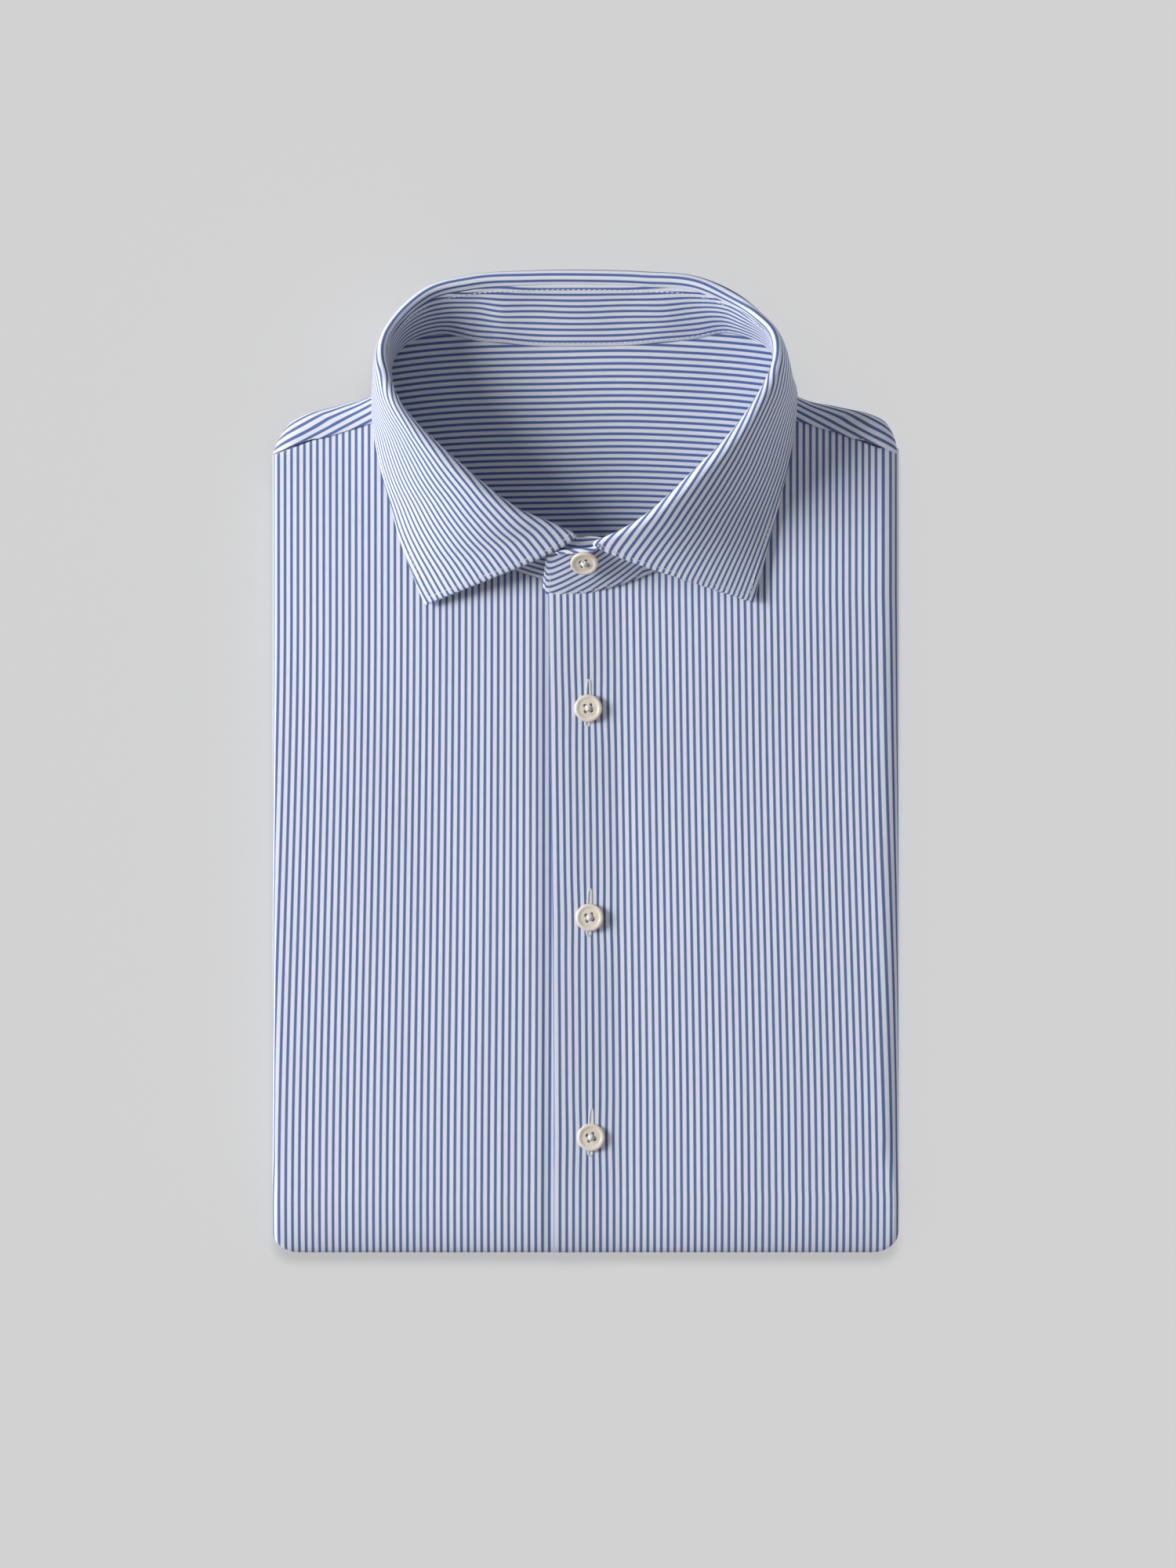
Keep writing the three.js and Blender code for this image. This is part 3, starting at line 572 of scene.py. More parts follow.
@dataclass(frozen=True)
class StripedCotton:
    """White cotton twill with woven blue stripes."""

    name: str
    white: tuple[float, float, float] = (226, 228, 236)
    blue: tuple[float, float, float] = (85, 107, 163)
    pale: tuple[float, float, float] = (205, 213, 232)
    pitch: float = STRIPE_PITCH
    blue_share: float = 0.43
    tooth: float = 0.25
    yarn: float = 0.66
    roughness: float = 0.82
    sheen: float = 0.12
    bump: float = 0.25

    def material(self, groups: Groups) -> bpy.types.Material:
        """Makes the cloth's material.

        Args:
            groups: the shared node groups.

        Returns:
            A material that reads the cut from the piece's UV map.
        """
        made = bpy.data.materials.new(self.name)
        made.use_nodes = True
        graph = Graph(made.node_tree)
        shader = made.node_tree.nodes["Principled BSDF"]
        cut = graph.node("ShaderNodeSeparateXYZ")
        graph.feed(cut.inputs[0], graph.node("ShaderNodeUVMap", uv_map=CUT_MAP).outputs[0])
        weave = graph.node("ShaderNodeGroup", node_tree=groups.stripe_weave)
        graph.feed(weave.inputs["Across"], graph.math("MULTIPLY", cut.outputs[0], MAP_UNIT_MM))
        graph.feed(weave.inputs["Along"], graph.math("MULTIPLY", cut.outputs[1], MAP_UNIT_MM))
        weave.inputs["Pitch"].default_value = self.pitch
        weave.inputs["Blue share"].default_value = self.blue_share
        weave.inputs["Tooth"].default_value = self.tooth
        weave.inputs["Yarn"].default_value = self.yarn
        handling = graph.node("ShaderNodeGroup", node_tree=groups.handling)
        ground = graph.mixed(weave.outputs["Hairline"], linear(*self.white), linear(*self.pale))
        yarn = graph.mixed(weave.outputs["Blue"], ground, linear(*self.blue))
        twill = graph.remap(weave.outputs["Twill"], 0.0, 1.0, 0.965, 1.02)
        shade = graph.remap(weave.outputs["Shade"], 0.25, 0.75, 0.96, 1.03)
        broad = graph.remap(handling.outputs["Broad"], 0.2, 0.8, 0.975, 1.02)
        tone = graph.math("MULTIPLY", graph.math("MULTIPLY", twill, shade), broad)
        grey = graph.node("ShaderNodeCombineColor")
        for socket in grey.inputs[:3]:
            graph.feed(socket, tone)
        graph.feed(shader.inputs["Base Color"], graph.mixed(1.0, yarn, grey.outputs[0], "MULTIPLY"))
        nap = handling.outputs["Nap"]
        rough = graph.remap(nap, 0.2, 0.8, self.roughness - 0.06, self.roughness + 0.06)
        graph.feed(shader.inputs["Roughness"], rough)
        bump = graph.node("ShaderNodeBump")
        bump.inputs["Strength"].default_value = self.bump
        bump.inputs["Distance"].default_value = 0.00012
        height = graph.math("ADD", weave.outputs["Twill"], graph.math("MULTIPLY", nap, 0.5))
        graph.feed(bump.inputs["Height"], height)
        graph.feed(shader.inputs["Normal"], bump.outputs[0])
        shader.inputs["Specular IOR Level"].default_value = 0.25
        shader.inputs["Sheen Weight"].default_value = self.sheen
        shader.inputs["Sheen Roughness"].default_value = 0.5
        return made


@dataclass(frozen=True)
class SewingThread:
    """Spun white thread."""

    name: str = "Sewing thread"
    colour: tuple[float, float, float] = (232, 233, 238)
    roughness: float = 0.62

    def material(self, groups: Groups) -> bpy.types.Material:
        """Makes the thread's material, with a fine nap.

        Args:
            groups: the shared node groups.

        Returns:
            The material.
        """
        made = bpy.data.materials.new(self.name)
        made.use_nodes = True
        graph = Graph(made.node_tree)
        shader = made.node_tree.nodes["Principled BSDF"]
        handling = graph.node("ShaderNodeGroup", node_tree=groups.handling)
        handling.inputs["Fine"].default_value = 2600.0
        fibres = graph.remap(handling.outputs["Nap"], 0.25, 0.75, 0.0, 1.0)
        dull = linear(*(0.86 * c for c in self.colour))
        graph.feed(shader.inputs["Base Color"], graph.mixed(fibres, dull, linear(*self.colour)))
        nap = handling.outputs["Nap"]
        rough = graph.remap(nap, 0.2, 0.8, self.roughness - 0.1, self.roughness + 0.1)
        graph.feed(shader.inputs["Roughness"], rough)
        bump = graph.node("ShaderNodeBump")
        bump.inputs["Strength"].default_value = 0.5
        bump.inputs["Distance"].default_value = 0.00005
        graph.feed(bump.inputs["Height"], handling.outputs["Nap"])
        graph.feed(shader.inputs["Normal"], bump.outputs[0])
        shader.inputs["Sheen Weight"].default_value = 0.1
        return made


@dataclass(frozen=True)
class ButtonResin:
    """Cream cast resin with a faint cloud in it and a soft shine."""

    name: str = "Cream button resin"
    light: tuple[float, float, float] = (229, 217, 203)
    deep: tuple[float, float, float] = (216, 202, 187)
    roughness: float = 0.32

    def material(self, groups: Groups) -> bpy.types.Material:
        """Makes the resin's material.

        Args:
            groups: the shared node groups.

        Returns:
            The material.
        """
        made = bpy.data.materials.new(self.name)
        made.use_nodes = True
        graph = Graph(made.node_tree)
        shader = made.node_tree.nodes["Principled BSDF"]
        handling = graph.node("ShaderNodeGroup", node_tree=groups.handling)
        handling.inputs["Broad"].default_value = 190.0
        handling.inputs["Fine"].default_value = 1500.0
        cloud = graph.remap(handling.outputs["Broad"], 0.3, 0.7, 0.0, 1.0)
        graph.feed(shader.inputs["Base Color"], graph.mixed(cloud, linear(*self.deep), linear(*self.light)))
        nap = handling.outputs["Nap"]
        rough = graph.remap(nap, 0.2, 0.8, self.roughness - 0.08, self.roughness + 0.1)
        graph.feed(shader.inputs["Roughness"], rough)
        bump = graph.node("ShaderNodeBump")
        bump.inputs["Strength"].default_value = 0.15
        bump.inputs["Distance"].default_value = 0.00004
        graph.feed(bump.inputs["Height"], handling.outputs["Nap"])
        graph.feed(shader.inputs["Normal"], bump.outputs[0])
        shader.inputs["Coat Weight"].default_value = 0.35
        shader.inputs["Coat Roughness"].default_value = 0.18
        shader.inputs["Subsurface Weight"].default_value = 0.08
        return made


class Cloths:
    """The shirt's finishes, each made into a material once."""

    def __init__(self, groups: Groups) -> None:
        """Makes the materials.

        Args:
            groups: the shared node groups.
        """
        self.chest = StripedCotton("Striped twill").material(groups)
        self.collar = StripedCotton("Fused striped twill", bump=0.2, sheen=0.1).material(groups)
        # The lining is the chest cloth with its white, blue and pale darkened by about a sixth: painted
        # shade for the collar's shade over the neck opening.
        shaded = StripedCotton(
            "Striped lining twill with painted shade",
            white=(209, 212, 221),
            blue=(76, 97, 150),
            pale=(192, 200, 218),
            blue_share=0.44,
        )
        self.lining = shaded.material(groups)
        self.thread = SewingThread().material(groups)
        self.resin = ButtonResin().material(groups)


def dress(piece: bpy.types.Object, material: bpy.types.Material, slot: str, *nodes: str) -> bpy.types.Object:
    """Gives a piece its material and its place in the frame.

    Args:
        piece: the piece.
        material: its material.
        slot: not used.
        nodes: the CAD nodes that it stands for.

    Returns:
        The piece.
    """
    piece.data.materials.append(material)
    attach(piece, "root")
    if nodes:
        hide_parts(*nodes)
    LOG.info("%s: %d faces", piece.name, len(piece.data.polygons))
    return piece


# ------------------------------------------------------------------ the fronts
class Side(Enum):
    """A side of the shirt, with the sign of its x."""

    LEFT = 1
    RIGHT = -1


@dataclass
class Front:
    """A front panel: down the chest, round the bottom fold and up the tail beneath."""

    side: Side
    cloths: Cloths
    creases: tuple[Crease, ...] = ()
    thickness: float = 0.7
    lip: float = 11.0
    tail_end: float = 112.0
    flat_cut: Point2 = (0.16, 0.59)
    fold_width: float = CHEST_FOLD[0]
    tail_creases: tuple[Crease, ...] = ()
    even_y: float = 60.0
    straight_x: float = 100.0
    placket_x: float = 6.0
    button_pull: float = 0.55
    button_dent: float = 0.25

    def columns(self) -> tuple[Array, Array, Array]:
        """Places across the panel.

        Returns:
            For each column its x on the flat (or nan), its angle round the side fold (or nan),
            and how far along the lip beneath it lies.
        """
        first = LEFT_EDGE_X if self.side is Side.LEFT else -RIGHT_EDGE_X
        last = HALF_WIDTH - self.fold_width
        steps = np.arange(1.5, last - 0.5 - first, 1.7)
        flat = np.concatenate([[0.0], [0.5], steps, [last - first]]) + first
        angles = np.linspace(0, math.pi, 15)[1:]
        lips = np.linspace(0, 1, 5)[1:]
        return (
            np.concatenate([flat, np.full(len(angles) + len(lips), np.nan)]),
            np.concatenate([np.full(len(flat), np.nan), angles, np.full(len(lips), math.pi)]),
            np.concatenate([np.zeros(len(flat) + len(angles)), lips]),
        )

    def start_y(self, x: Array) -> Array:
        """Where each column starts at the neck or the shoulder."""
        if self.side is Side.LEFT:
            under_band = np.interp(x, (-15, -4, 6, 14), (69.4, 70.4, 72.4, 72.8))
            return np.where(x < 14, under_band, neck_edge(x) + 2.4 * smooth(70, 55, x))
        return np.where(x < 14, 68.0, neck_edge(x) + 2.4 * smooth(77, 60, x))

    def edge_x(self, y: Array) -> Array:
        """Where the placket's outer edge lies."""
        return -12.65 - 2.25 * np.clip((np.asarray(y) + 140.0) / 208.0, 0, 1) ** 1.5

    def across_cut(self, x: Array, y: Array) -> Array:
        """How far a place lies across the cut; the stripes fan out a little downward.

        Args:
            x: signed places across.
            y: places along.

        Returns:
            The distance from the middle of a blue stripe, in the cut.
        """
        if self.side is Side.LEFT:
            pitch = 2.74 - 0.08 * smooth(-200, 20, y)
            reference = self.edge_x(y) + 2.25
        else:
            pitch = 2.74 - 0.12 * smooth(-170, 60, y)
            reference = -17.5 + 0.45 * smooth(-200, -60, y)
        return (x - reference) * STRIPE_PITCH / pitch

    def surface(self, x: Array, y: Array) -> Array:
        """The visible height of the flat cloth.

        Args:
            x: signed places across.
            y: places along.

        Returns:
            The height at each place.
        """
        out = x * self.side.value
        lift = pressed_height(x, y) + relief_of(self.creases, x, y)
        settled = smooth(-198, -165, y)
        if self.side is Side.LEFT:
            ramp = np.interp(x, (-15.0, -12.0, 14.0, 24.0, 60.0), (1.5, 1.4, -0.95, -0.85, 0.0))
            lift = lift + ramp * settled
            for bx, by in PLACKET_BUTTONS:
                away = np.hypot((x - bx) / 7.5, (y - by) / 10.0)
                lift = lift - self.button_dent * np.exp(-(away**2))
        else:
            lift = lift - 0.35 * smooth(44.0, 18.0, out) * settled
            lift = lift - 0.75 * smooth(19.0, 15.2, out) - 0.5 * smooth(10.0, -2.0, out)
        return lift

    def panel(self) -> Panel:
        """Works out the panel from its folds.

        Returns:
            The grid, with its cut running on round both folds.
        """
        flat_x, angles, lips = self.columns()
        last = HALF_WIDTH - self.fold_width
        across_x = np.where(np.isnan(flat_x), last, flat_x)
        fold_y = BOTTOM_Y + BOTTOM_REACH
        chest = np.linspace(1, 0, 34)
        ys_down = np.concatenate([np.arange(self.even_y - 2.0, fold_y, -2.0), [fold_y]])
        turn = np.linspace(0, math.pi, 25)[1:]
        tail = np.concatenate([np.arange(SPINE_Y + 6, self.tail_end, 6.0), [self.tail_end]])
        angle = np.concatenate([np.zeros(len(chest) + len(ys_down)), turn, np.full(len(tail), math.pi)])
        reach = np.where(angle < math.pi / 2, BOTTOM_REACH, SPINE_RADIUS)
        facing = np.stack([-np.sin(angle) * SPINE_RADIUS, np.cos(angle) * reach], axis=1)
        facing = unit(facing)
        start = self.start_y(across_x)
        flat_part = len(chest) + len(ys_down)
        points = np.zeros((len(flat_x), len(angle), 3))
        cut = np.zeros(points.shape[:2] + (2,))
        for c in range(len(flat_x)):
            from_neck = self.even_y + (start[c] - self.even_y) * chest
            station_y = np.concatenate([from_neck, ys_down, np.zeros(len(turn)), tail])
            turning = slice(flat_part, flat_part + len(turn))
            station_y[turning] = BOTTOM_Y + reach[turning] * (1 - np.sin(angle[turning]))
            thin = np.where(angle > 0, 1.0, smooth(-150, -178, station_y))
            width = self.fold_width + (TAIL_FOLD[0] - self.fold_width) * thin
            depth_full = CHEST_FOLD[1] + (TAIL_FOLD[1] - CHEST_FOLD[1]) * thin
            into = np.clip(BOTTOM_Y + CORNER_RADIUS - station_y, 0, CORNER_RADIUS)
            inset = CORNER_RADIUS - np.sqrt(np.maximum(CORNER_RADIUS**2 - into**2, 0))
            fold_start = HALF_WIDTH - inset - width
            depth = np.zeros(len(angle))
            beyond = np.zeros(len(angle))
            x = np.full(len(angle), across_x[c])
            if np.isnan(flat_x[c]):
                x = fold_start + width * math.sin(angles[c]) - self.lip * lips[c]
                depth = depth_full * (1 - math.cos(angles[c]))
                beyond = (width + depth_full) / 2 * 1.05 * angles[c] + self.lip * lips[c]
            elif flat_x[c] > self.straight_x:
                share = flat_x[c] - self.straight_x
                x = self.straight_x + (fold_start - self.straight_x) * share / (last - self.straight_x)
            elif self.side is Side.LEFT and flat_x[c] < -self.placket_x:
                share = flat_x[c] + self.placket_x
                edge = self.edge_x(station_y) + self.placket_x
                x = -self.placket_x + share * edge / (LEFT_EDGE_X + self.placket_x)
            signed = x * self.side.value
            top = self.surface(np.clip(signed, -last, last), station_y)
            base = np.where(angle > 0, SPINE_RADIUS + SPINE_RADIUS * np.cos(angle), top)
            rest = top[flat_part - 1] - 2 * SPINE_RADIUS
            base = base + np.where(angle > 0, rest * np.cos(angle / 2) ** 2, 0)
            base[-len(tail):] += relief_of(self.tail_creases, signed[-len(tail):], tail)
            laid = np.where(beyond > 0, fold_start + beyond, x) * self.side.value
            points[c, :, 0] = signed
            points[c, :, 1] = station_y - facing[:, 0] * depth
            points[c, :, 2] = base - facing[:, 1] * depth
            cut[c, :, 0] = self.across_cut(laid, np.where(angle > 0, BOTTOM_Y, station_y))
            cut[c, :, 1] = start[c] - lengths_along(np.stack([station_y, base], axis=1))
        return Panel(points, self.pulled(points, cut), -self.side.value)

    def pulled(self, points: Array, cut: Array) -> Array:
        """Bends the left front's stripes where the buttons pull the cloth together.

        Args:
            points: the panel's points.
            cut: their places in the cut, which are changed.

        Returns:
            The changed places.
        """
        x, y = points[..., 0], points[..., 1]
        if self.side is Side.LEFT:
            for bx, by in PLACKET_BUTTONS:
                away = np.hypot((x - bx) / 10.0, (y - by) / 12.0)
                cut[..., 0] += self.button_pull * np.tanh((x - bx) / 5.0) * np.exp(-(away**2))
        return cut

    def build(self) -> bpy.types.Object:
        """Builds and dresses the front.

        Returns:
            The front's cloth.
        """
        name = "front_left_cloth" if self.side is Side.LEFT else "front_right_cloth"
        node = "front_left" if self.side is Side.LEFT else "front_right"
        piece = dress(self.panel().shell(name, self.thickness), self.cloths.chest, "striped_cotton", node)
        return piece


# ------------------------------------------------------------------ the yoke's shoulder strips
@dataclass
class ShoulderStrip:
    """What shows of the outer yoke over one shoulder."""

    side: Side
    cloths: Cloths
    rows: tuple[Row, ...] = ()
    lip: float = 2.0
    lap: float = 1.6
    thickness: float = 0.7
    slant: float = 28.0
    fold_run: float = 6.4

    def panel(self) -> Panel:
        """Works out the strip from its rows.

        Returns:
            The grid, from its seam over the shoulder's fold.
        """
        table = np.array(self.rows)
        run = lengths_along(table[:, 2:4])
        fine = through(run, table, np.linspace(0, run[-1], 46))
        heading = math.radians(self.slant)
        normal = np.array([-math.sin(heading), math.cos(heading)])
        stripes = np.array([math.cos(heading), math.sin(heading)])
        if self.side is Side.LEFT:
            normal, stripes = normal * (-1, 1), stripes * (-1, 1)
        points, cut = [], []
        for seam_x, seam_y, fold_x, fold_y in fine:
            seam, fold = np.array([seam_x, seam_y]), np.array([fold_x, fold_y])
            reach = np.linalg.norm(fold - seam)
            out = (fold - seam) / reach
            width = min(CHEST_FOLD[0], 0.75 * reach)
            start = reach - width
            flat = [(s, 0.0, s) for s in np.linspace(-self.lap, start, 7)]
            turn = [
                (start + width * math.sin(t), CHEST_FOLD[1] * (1 - math.cos(t)), start + self.fold_run * t)
                for t in np.linspace(0, math.pi, 14)[1:]
            ]
            round_fold = start + self.fold_run * math.pi
            under = [
                (start - self.lip * t, 2 * CHEST_FOLD[1], round_fold + self.lip * t) for t in (0.5, 1.0)
            ]
            base = min(float(chest_height(seam_x, seam_y)), float(chest_height(119.0, seam_y)) + 0.5) + 0.35
            line, places = [], []
            for across, down, length in flat + turn + under:
                where = seam + out * across
                line.append((where[0], where[1], base - down))
                laid = seam + out * length
                places.append((laid @ normal, laid @ stripes))
            points.append(line)
            cut.append(places)
        return Panel(np.array(points), np.array(cut), self.side.value)

    def build(self) -> bpy.types.Object:
        """Builds and dresses the strip.

        Returns:
            The strip's cloth.
        """
        name = f"yoke_{self.side.name.lower()}"
        shell = self.panel().shell(f"{name}_cloth", self.thickness)
        piece = dress(shell, self.cloths.chest, "striped_cotton", name)
        return piece


# ------------------------------------------------------------------ the lining
@dataclass
class YokeLining:
    """The inside of the back, seen through the neck."""

    cloths: Cloths
    edge: tuple[Point2, ...] = (
        (0, 169.8), (27, 170.8), (45, 172.8), (57, 175.6), (64, 175.2), (70, 173.0),
        (76.4, 168.4), (80.4, 161.0), (81.4, 150.0), (82, 142.5), (85, 136.0),
    )
    front_y: float = 42.0
    thickness: float = 0.7
    creases: tuple[Crease, ...] = (
        Crease(((-66, 158), (-40, 138), (-30, 112)), 0.3, 7.0),
        Crease(((62, 160), (44, 146), (20, 140)), -0.25, 6.0),
        Crease(((-6, 166), (2, 130), (-4, 96)), 0.2, 9.0),
    )
    side_sag: float = 5.1
    middle_dip: float = 0.65
    front_pitch: float = 2.42
    back_pitch: float = 2.6
    blue_middle_y: float = 166.35

    def sag(self, x: Array) -> Array:
        """How far the stripes drop toward the front at each place across."""
        droop = self.side_sag * np.abs(x / 86.0) ** 3.4
        return droop - self.middle_dip * np.exp(-(((x - 15.0) / 24.0) ** 2))

    def stripes(self, y: Array) -> Array:
        """How far a place lies along the cut, for stripes that close up toward the front.

        Args:
            y: places along, with the sag added.

        Returns:
            Their places in the cut.
        """
        at = np.linspace(40, 180, 281)
        pitch = self.front_pitch + (self.back_pitch - self.front_pitch) * smooth(98, 145, at)
        turns = np.cumsum(0.5 / pitch)
        return (np.interp(y, at, turns) - np.interp(self.blue_middle_y, at, turns)) * STRIPE_PITCH

    def panel(self) -> Panel:
        """Works out the lining from its back edge.

        Returns:
            The grid, its stripes running across.
        """
        table = np.array(self.edge)
        half = np.interp(np.linspace(0, 1, 61), np.linspace(0, 1, len(table)), table[:, 0])
        across = np.concatenate([-half[:0:-1], half])
        back = np.interp(np.abs(across), table[:, 0], table[:, 1])
        share = np.linspace(0, 1, 72)
        x = np.repeat(across[:, None], len(share), axis=1)
        y = back[:, None] + (self.front_y - back[:, None]) * share[None, :]
        z = LINING_TOP + relief_of(self.creases, x, y)
        u = self.stripes(y + self.sag(x))
        return Panel(np.stack([x, y, z], axis=-1), np.stack([u, x], axis=-1), -1)

    def build(self) -> bpy.types.Object:
        """Builds and dresses the lining.

        Returns:
            The lining's cloth.
        """
        shell = self.panel().shell("yoke_lining_cloth", self.thickness)
        # Its material carries painted shade: the chest cloth's colours, darkened for the collar's shade over
        # the neck.
        piece = dress(shell, self.cloths.lining, "striped_cotton", "yoke_lining")
        return piece


# ------------------------------------------------------------------ hidden layers
@dataclass
class HiddenLayers:
    """The back, the sleeves and the cuffs, folded away beneath, whose folds show at the sides."""

    cloths: Cloths
    # y, and how far out the back's fold, the core and the sleeve's fold reach there
    rows: tuple[Row, ...] = (
        (SPINE_Y - 4.4, 99, 98, 99), (SPINE_Y - 2.6, 102, 101, 102), (SPINE_Y, 104, 103, 107),
        (-187, 105, 104, 117), (-182, 105, 104, 122), (-158, 105.4, 104, 123),
        (-153, 123.6, 104, 123.4), (-80, 123.6, 104, 122.2), (0, 123.6, 104, 123.8),
        (32, 123.6, 104, 123), (37, 105, 104, 122.6), (110, 105, 104, 123.6),
        (124, 105, 104, 123.4), (129, 99, 98, 121), (133.5, 87, 86, 117.5),
        (137, 77, 76, 112), (140.5, 76.6, 75.6, 101), (144, 76.6, 75.6, 87),
        (147.5, 76.4, 75.4, 78), (156, 73.6, 72.6, 74), (161.5, 66.6, 65.6, 67),
        (163.5, 60.6, 59.6, 61),
    )
    half_stack: float = 4.9
    spine_wall: float = 3.0
    back_low: float = 8.8
    sleeve_seat: float = 6.85
    sleeve_top: float = 6.8
    sleeve_low: float = 4.8
    core_foot: float = 4.75
    bottom: float = 3.1

    def top(self, x: float, y: float) -> float:
        """How high the layers reach under the fronts or the lining.

        Args:
            x: a place across.
            y: a place along.

        Returns:
            The height there.
        """
        fall = 0.3 * abs(x) / HALF_WIDTH
        placket = 1.0 if y < SPINE_Y + 8 else 1.0 - float(smooth(19, 24, abs(x)))
        if y < 35:
            beneath = float(chest_height(x, y)) - 1.5 * (1 + placket) - 0.5 - fall
            return beneath - 0.9 * float(smooth(-176, -190, y))
        return 9.1 - fall

    def section(self, row: Row) -> list[Point2]:
        """One closed section across.

        Args:
            row: y and how far out each layer reaches there.

        Returns:
            The points, from the middle of the top round to the middle again.
        """
        y, chest, core, sleeve = row
        bend = max(SPINE_Y - y, 0.0)
        inside = math.sqrt((SPINE_RADIUS - self.spine_wall) ** 2 - bend**2)
        share = inside / self.half_stack
        squeeze = share + (1 - share) * float(smooth(SPINE_Y, SPINE_Y + 12, y))
        half: list[Point2] = []

        def put(x: float, z: float) -> None:
            """Adds a point, drawn in toward the spine's axis."""
            half.append((x, SPINE_RADIUS + (z - SPINE_RADIUS) * squeeze))

        def noses(width: float, length: float, high: float, low: float, count: int) -> None:
            """Adds a stack of rounded cloth folds one under another.

            Args:
                width: how far out they reach.
                length: how far each rounds in.
                high: the top of the stack.
                low: its bottom.
                count: how many there are.
            """
            step = (high - low) / count
            for k in range(count):
                out = width - (0.7, 0.0, 0.45)[k % 3] * min(length, 2.0)
                for t in np.linspace(0, math.pi, 7):
                    nose = high - step * (k + 0.5) + step / 2 * math.cos(t)
                    put(out - length + length * math.sin(t), nose)

        flat_to = chest - 7.0
        chest_top = self.top(flat_to, y) - 0.05
        chest_low = min(self.back_low, chest_top - 0.4)
        for share in np.linspace(0.02, 1, 14):
            put(share * flat_to, self.top(share * flat_to, y))
        noses(chest, min(6.5, 0.6 * (chest - core)), chest_top, chest_low, 2)
        put(core, chest_low - 0.05)
        put(core, self.sleeve_seat)
        noses(sleeve, min(1.6, 0.6 * (sleeve - core)), self.sleeve_top, self.sleeve_low, 1)
        put(core - 2, self.core_foot)
        put(core - 2, self.bottom)
        return half + [(-x, z) for x, z in reversed(half)]

    def build(self) -> bpy.types.Object:
        """Builds and dresses the layers as one lofted shell.

        Returns:
            The layers' cloth.
        """
        table = np.array(self.rows)
        ys = np.unique(np.concatenate([table[:, 0], np.arange(-186, 163, 3.0)]))
        fine = np.stack([np.interp(ys, table[:, 0], table[:, k]) for k in range(4)], axis=1)
        loops = [self.section(tuple(row)) for row in fine]
        size = len(loops[0])
        vertices = np.array([(x, row[0], z) for row, loop in zip(fine, loops) for x, z in loop])
        faces: list[tuple[int, ...]] = []
        for i in range(len(loops) - 1):
            for j in range(size):
                a, b = i * size + j, i * size + (j + 1) % size
                faces.append((a, b, b + size, a + size))
        faces.append(tuple(range(size - 1, -1, -1)))
        faces.append(tuple(range((len(loops) - 1) * size, len(loops) * size)))
        around = np.array([lengths_along(np.array(loop)) for loop in loops])
        cut = np.stack([around.ravel(), vertices[:, 1]], axis=1)
        shell = mesh_object("folded_layers_cloth", vertices, faces, cut)
        piece = dress(shell, self.cloths.chest, "striped_cotton", "folded_layers")
        return piece


# ------------------------------------------------------------------ the collar
# seam x, y, z; roll x, y, z; outer edge x, y, z; radius of the fold; swell of the fall in degrees
COLLAR_LEFT: tuple[Row, ...] = (
    (3, 69.3, 17.4, 3.4, 89.6, 34.0, 68.1, 65.0, 20.3, 1.0, 3),
    (15.5, 72.9, 17.4, 13.7, 94.3, 37.2, 70.8, 76.0, 19.8, 1.6, 5),
    (28, 77.9, 17.4, 23.4, 100.5, 40.6, 73.8, 87.0, 19.3, 2.2, 8),
    (41, 85.8, 17.4, 33.7, 109.5, 44.2, 76.9, 98.8, 18.8, 2.6, 10),
    (52.6, 95.3, 17.2, 43.9, 119.7, 47.4, 79.6, 109.5, 18.6, 2.9, 12),
    (62, 106, 17.0, 53.4, 129.0, 49.6, 82.2, 120, 18.3, 3.0, 14),
    (69.3, 119.3, 16.7, 61.6, 138.7, 50.5, 84.3, 132, 17.9, 3.0, 15),
    (74.0, 136, 16.0, 67.0, 146.2, 50, 85.7, 143.5, 17.5, 2.8, 15),
    (76.6, 150, 14.5, 72.0, 154.4, 48, 85.6, 151, 16.8, 2.6, 14),
    (77.6, 160, 12.8, 75.2, 163.5, 44, 82.4, 158.5, 11, 2.1, 10),
    (75.0, 166.5, 11.6, 74.2, 172.6, 39.5, 78.0, 166, 5.5, 1.8, 8),
    (69.0, 171, 11.0, 67.8, 180.0, 35.5, 70.6, 172, 2, 1.8, 10),
    (58, 174, 10.9, 59.4, 187.2, 32.5, 60, 176.4, 1.7, 2.0, 16),
    (44, 171.6, 10.9, 46, 193.9, 30.5, 45, 178.4, 1.5, 2.3, 22),
    (22, 169.4, 10.9, 23, 196.6, 29.3, 22, 179.4, 1.5, 2.5, 25),
)
COLLAR_BACK: tuple[Row, ...] = ((0, 168.6, 10.9, 0, 197.4, 29, 0, 179.7, 1.5, 2.5, 25),)
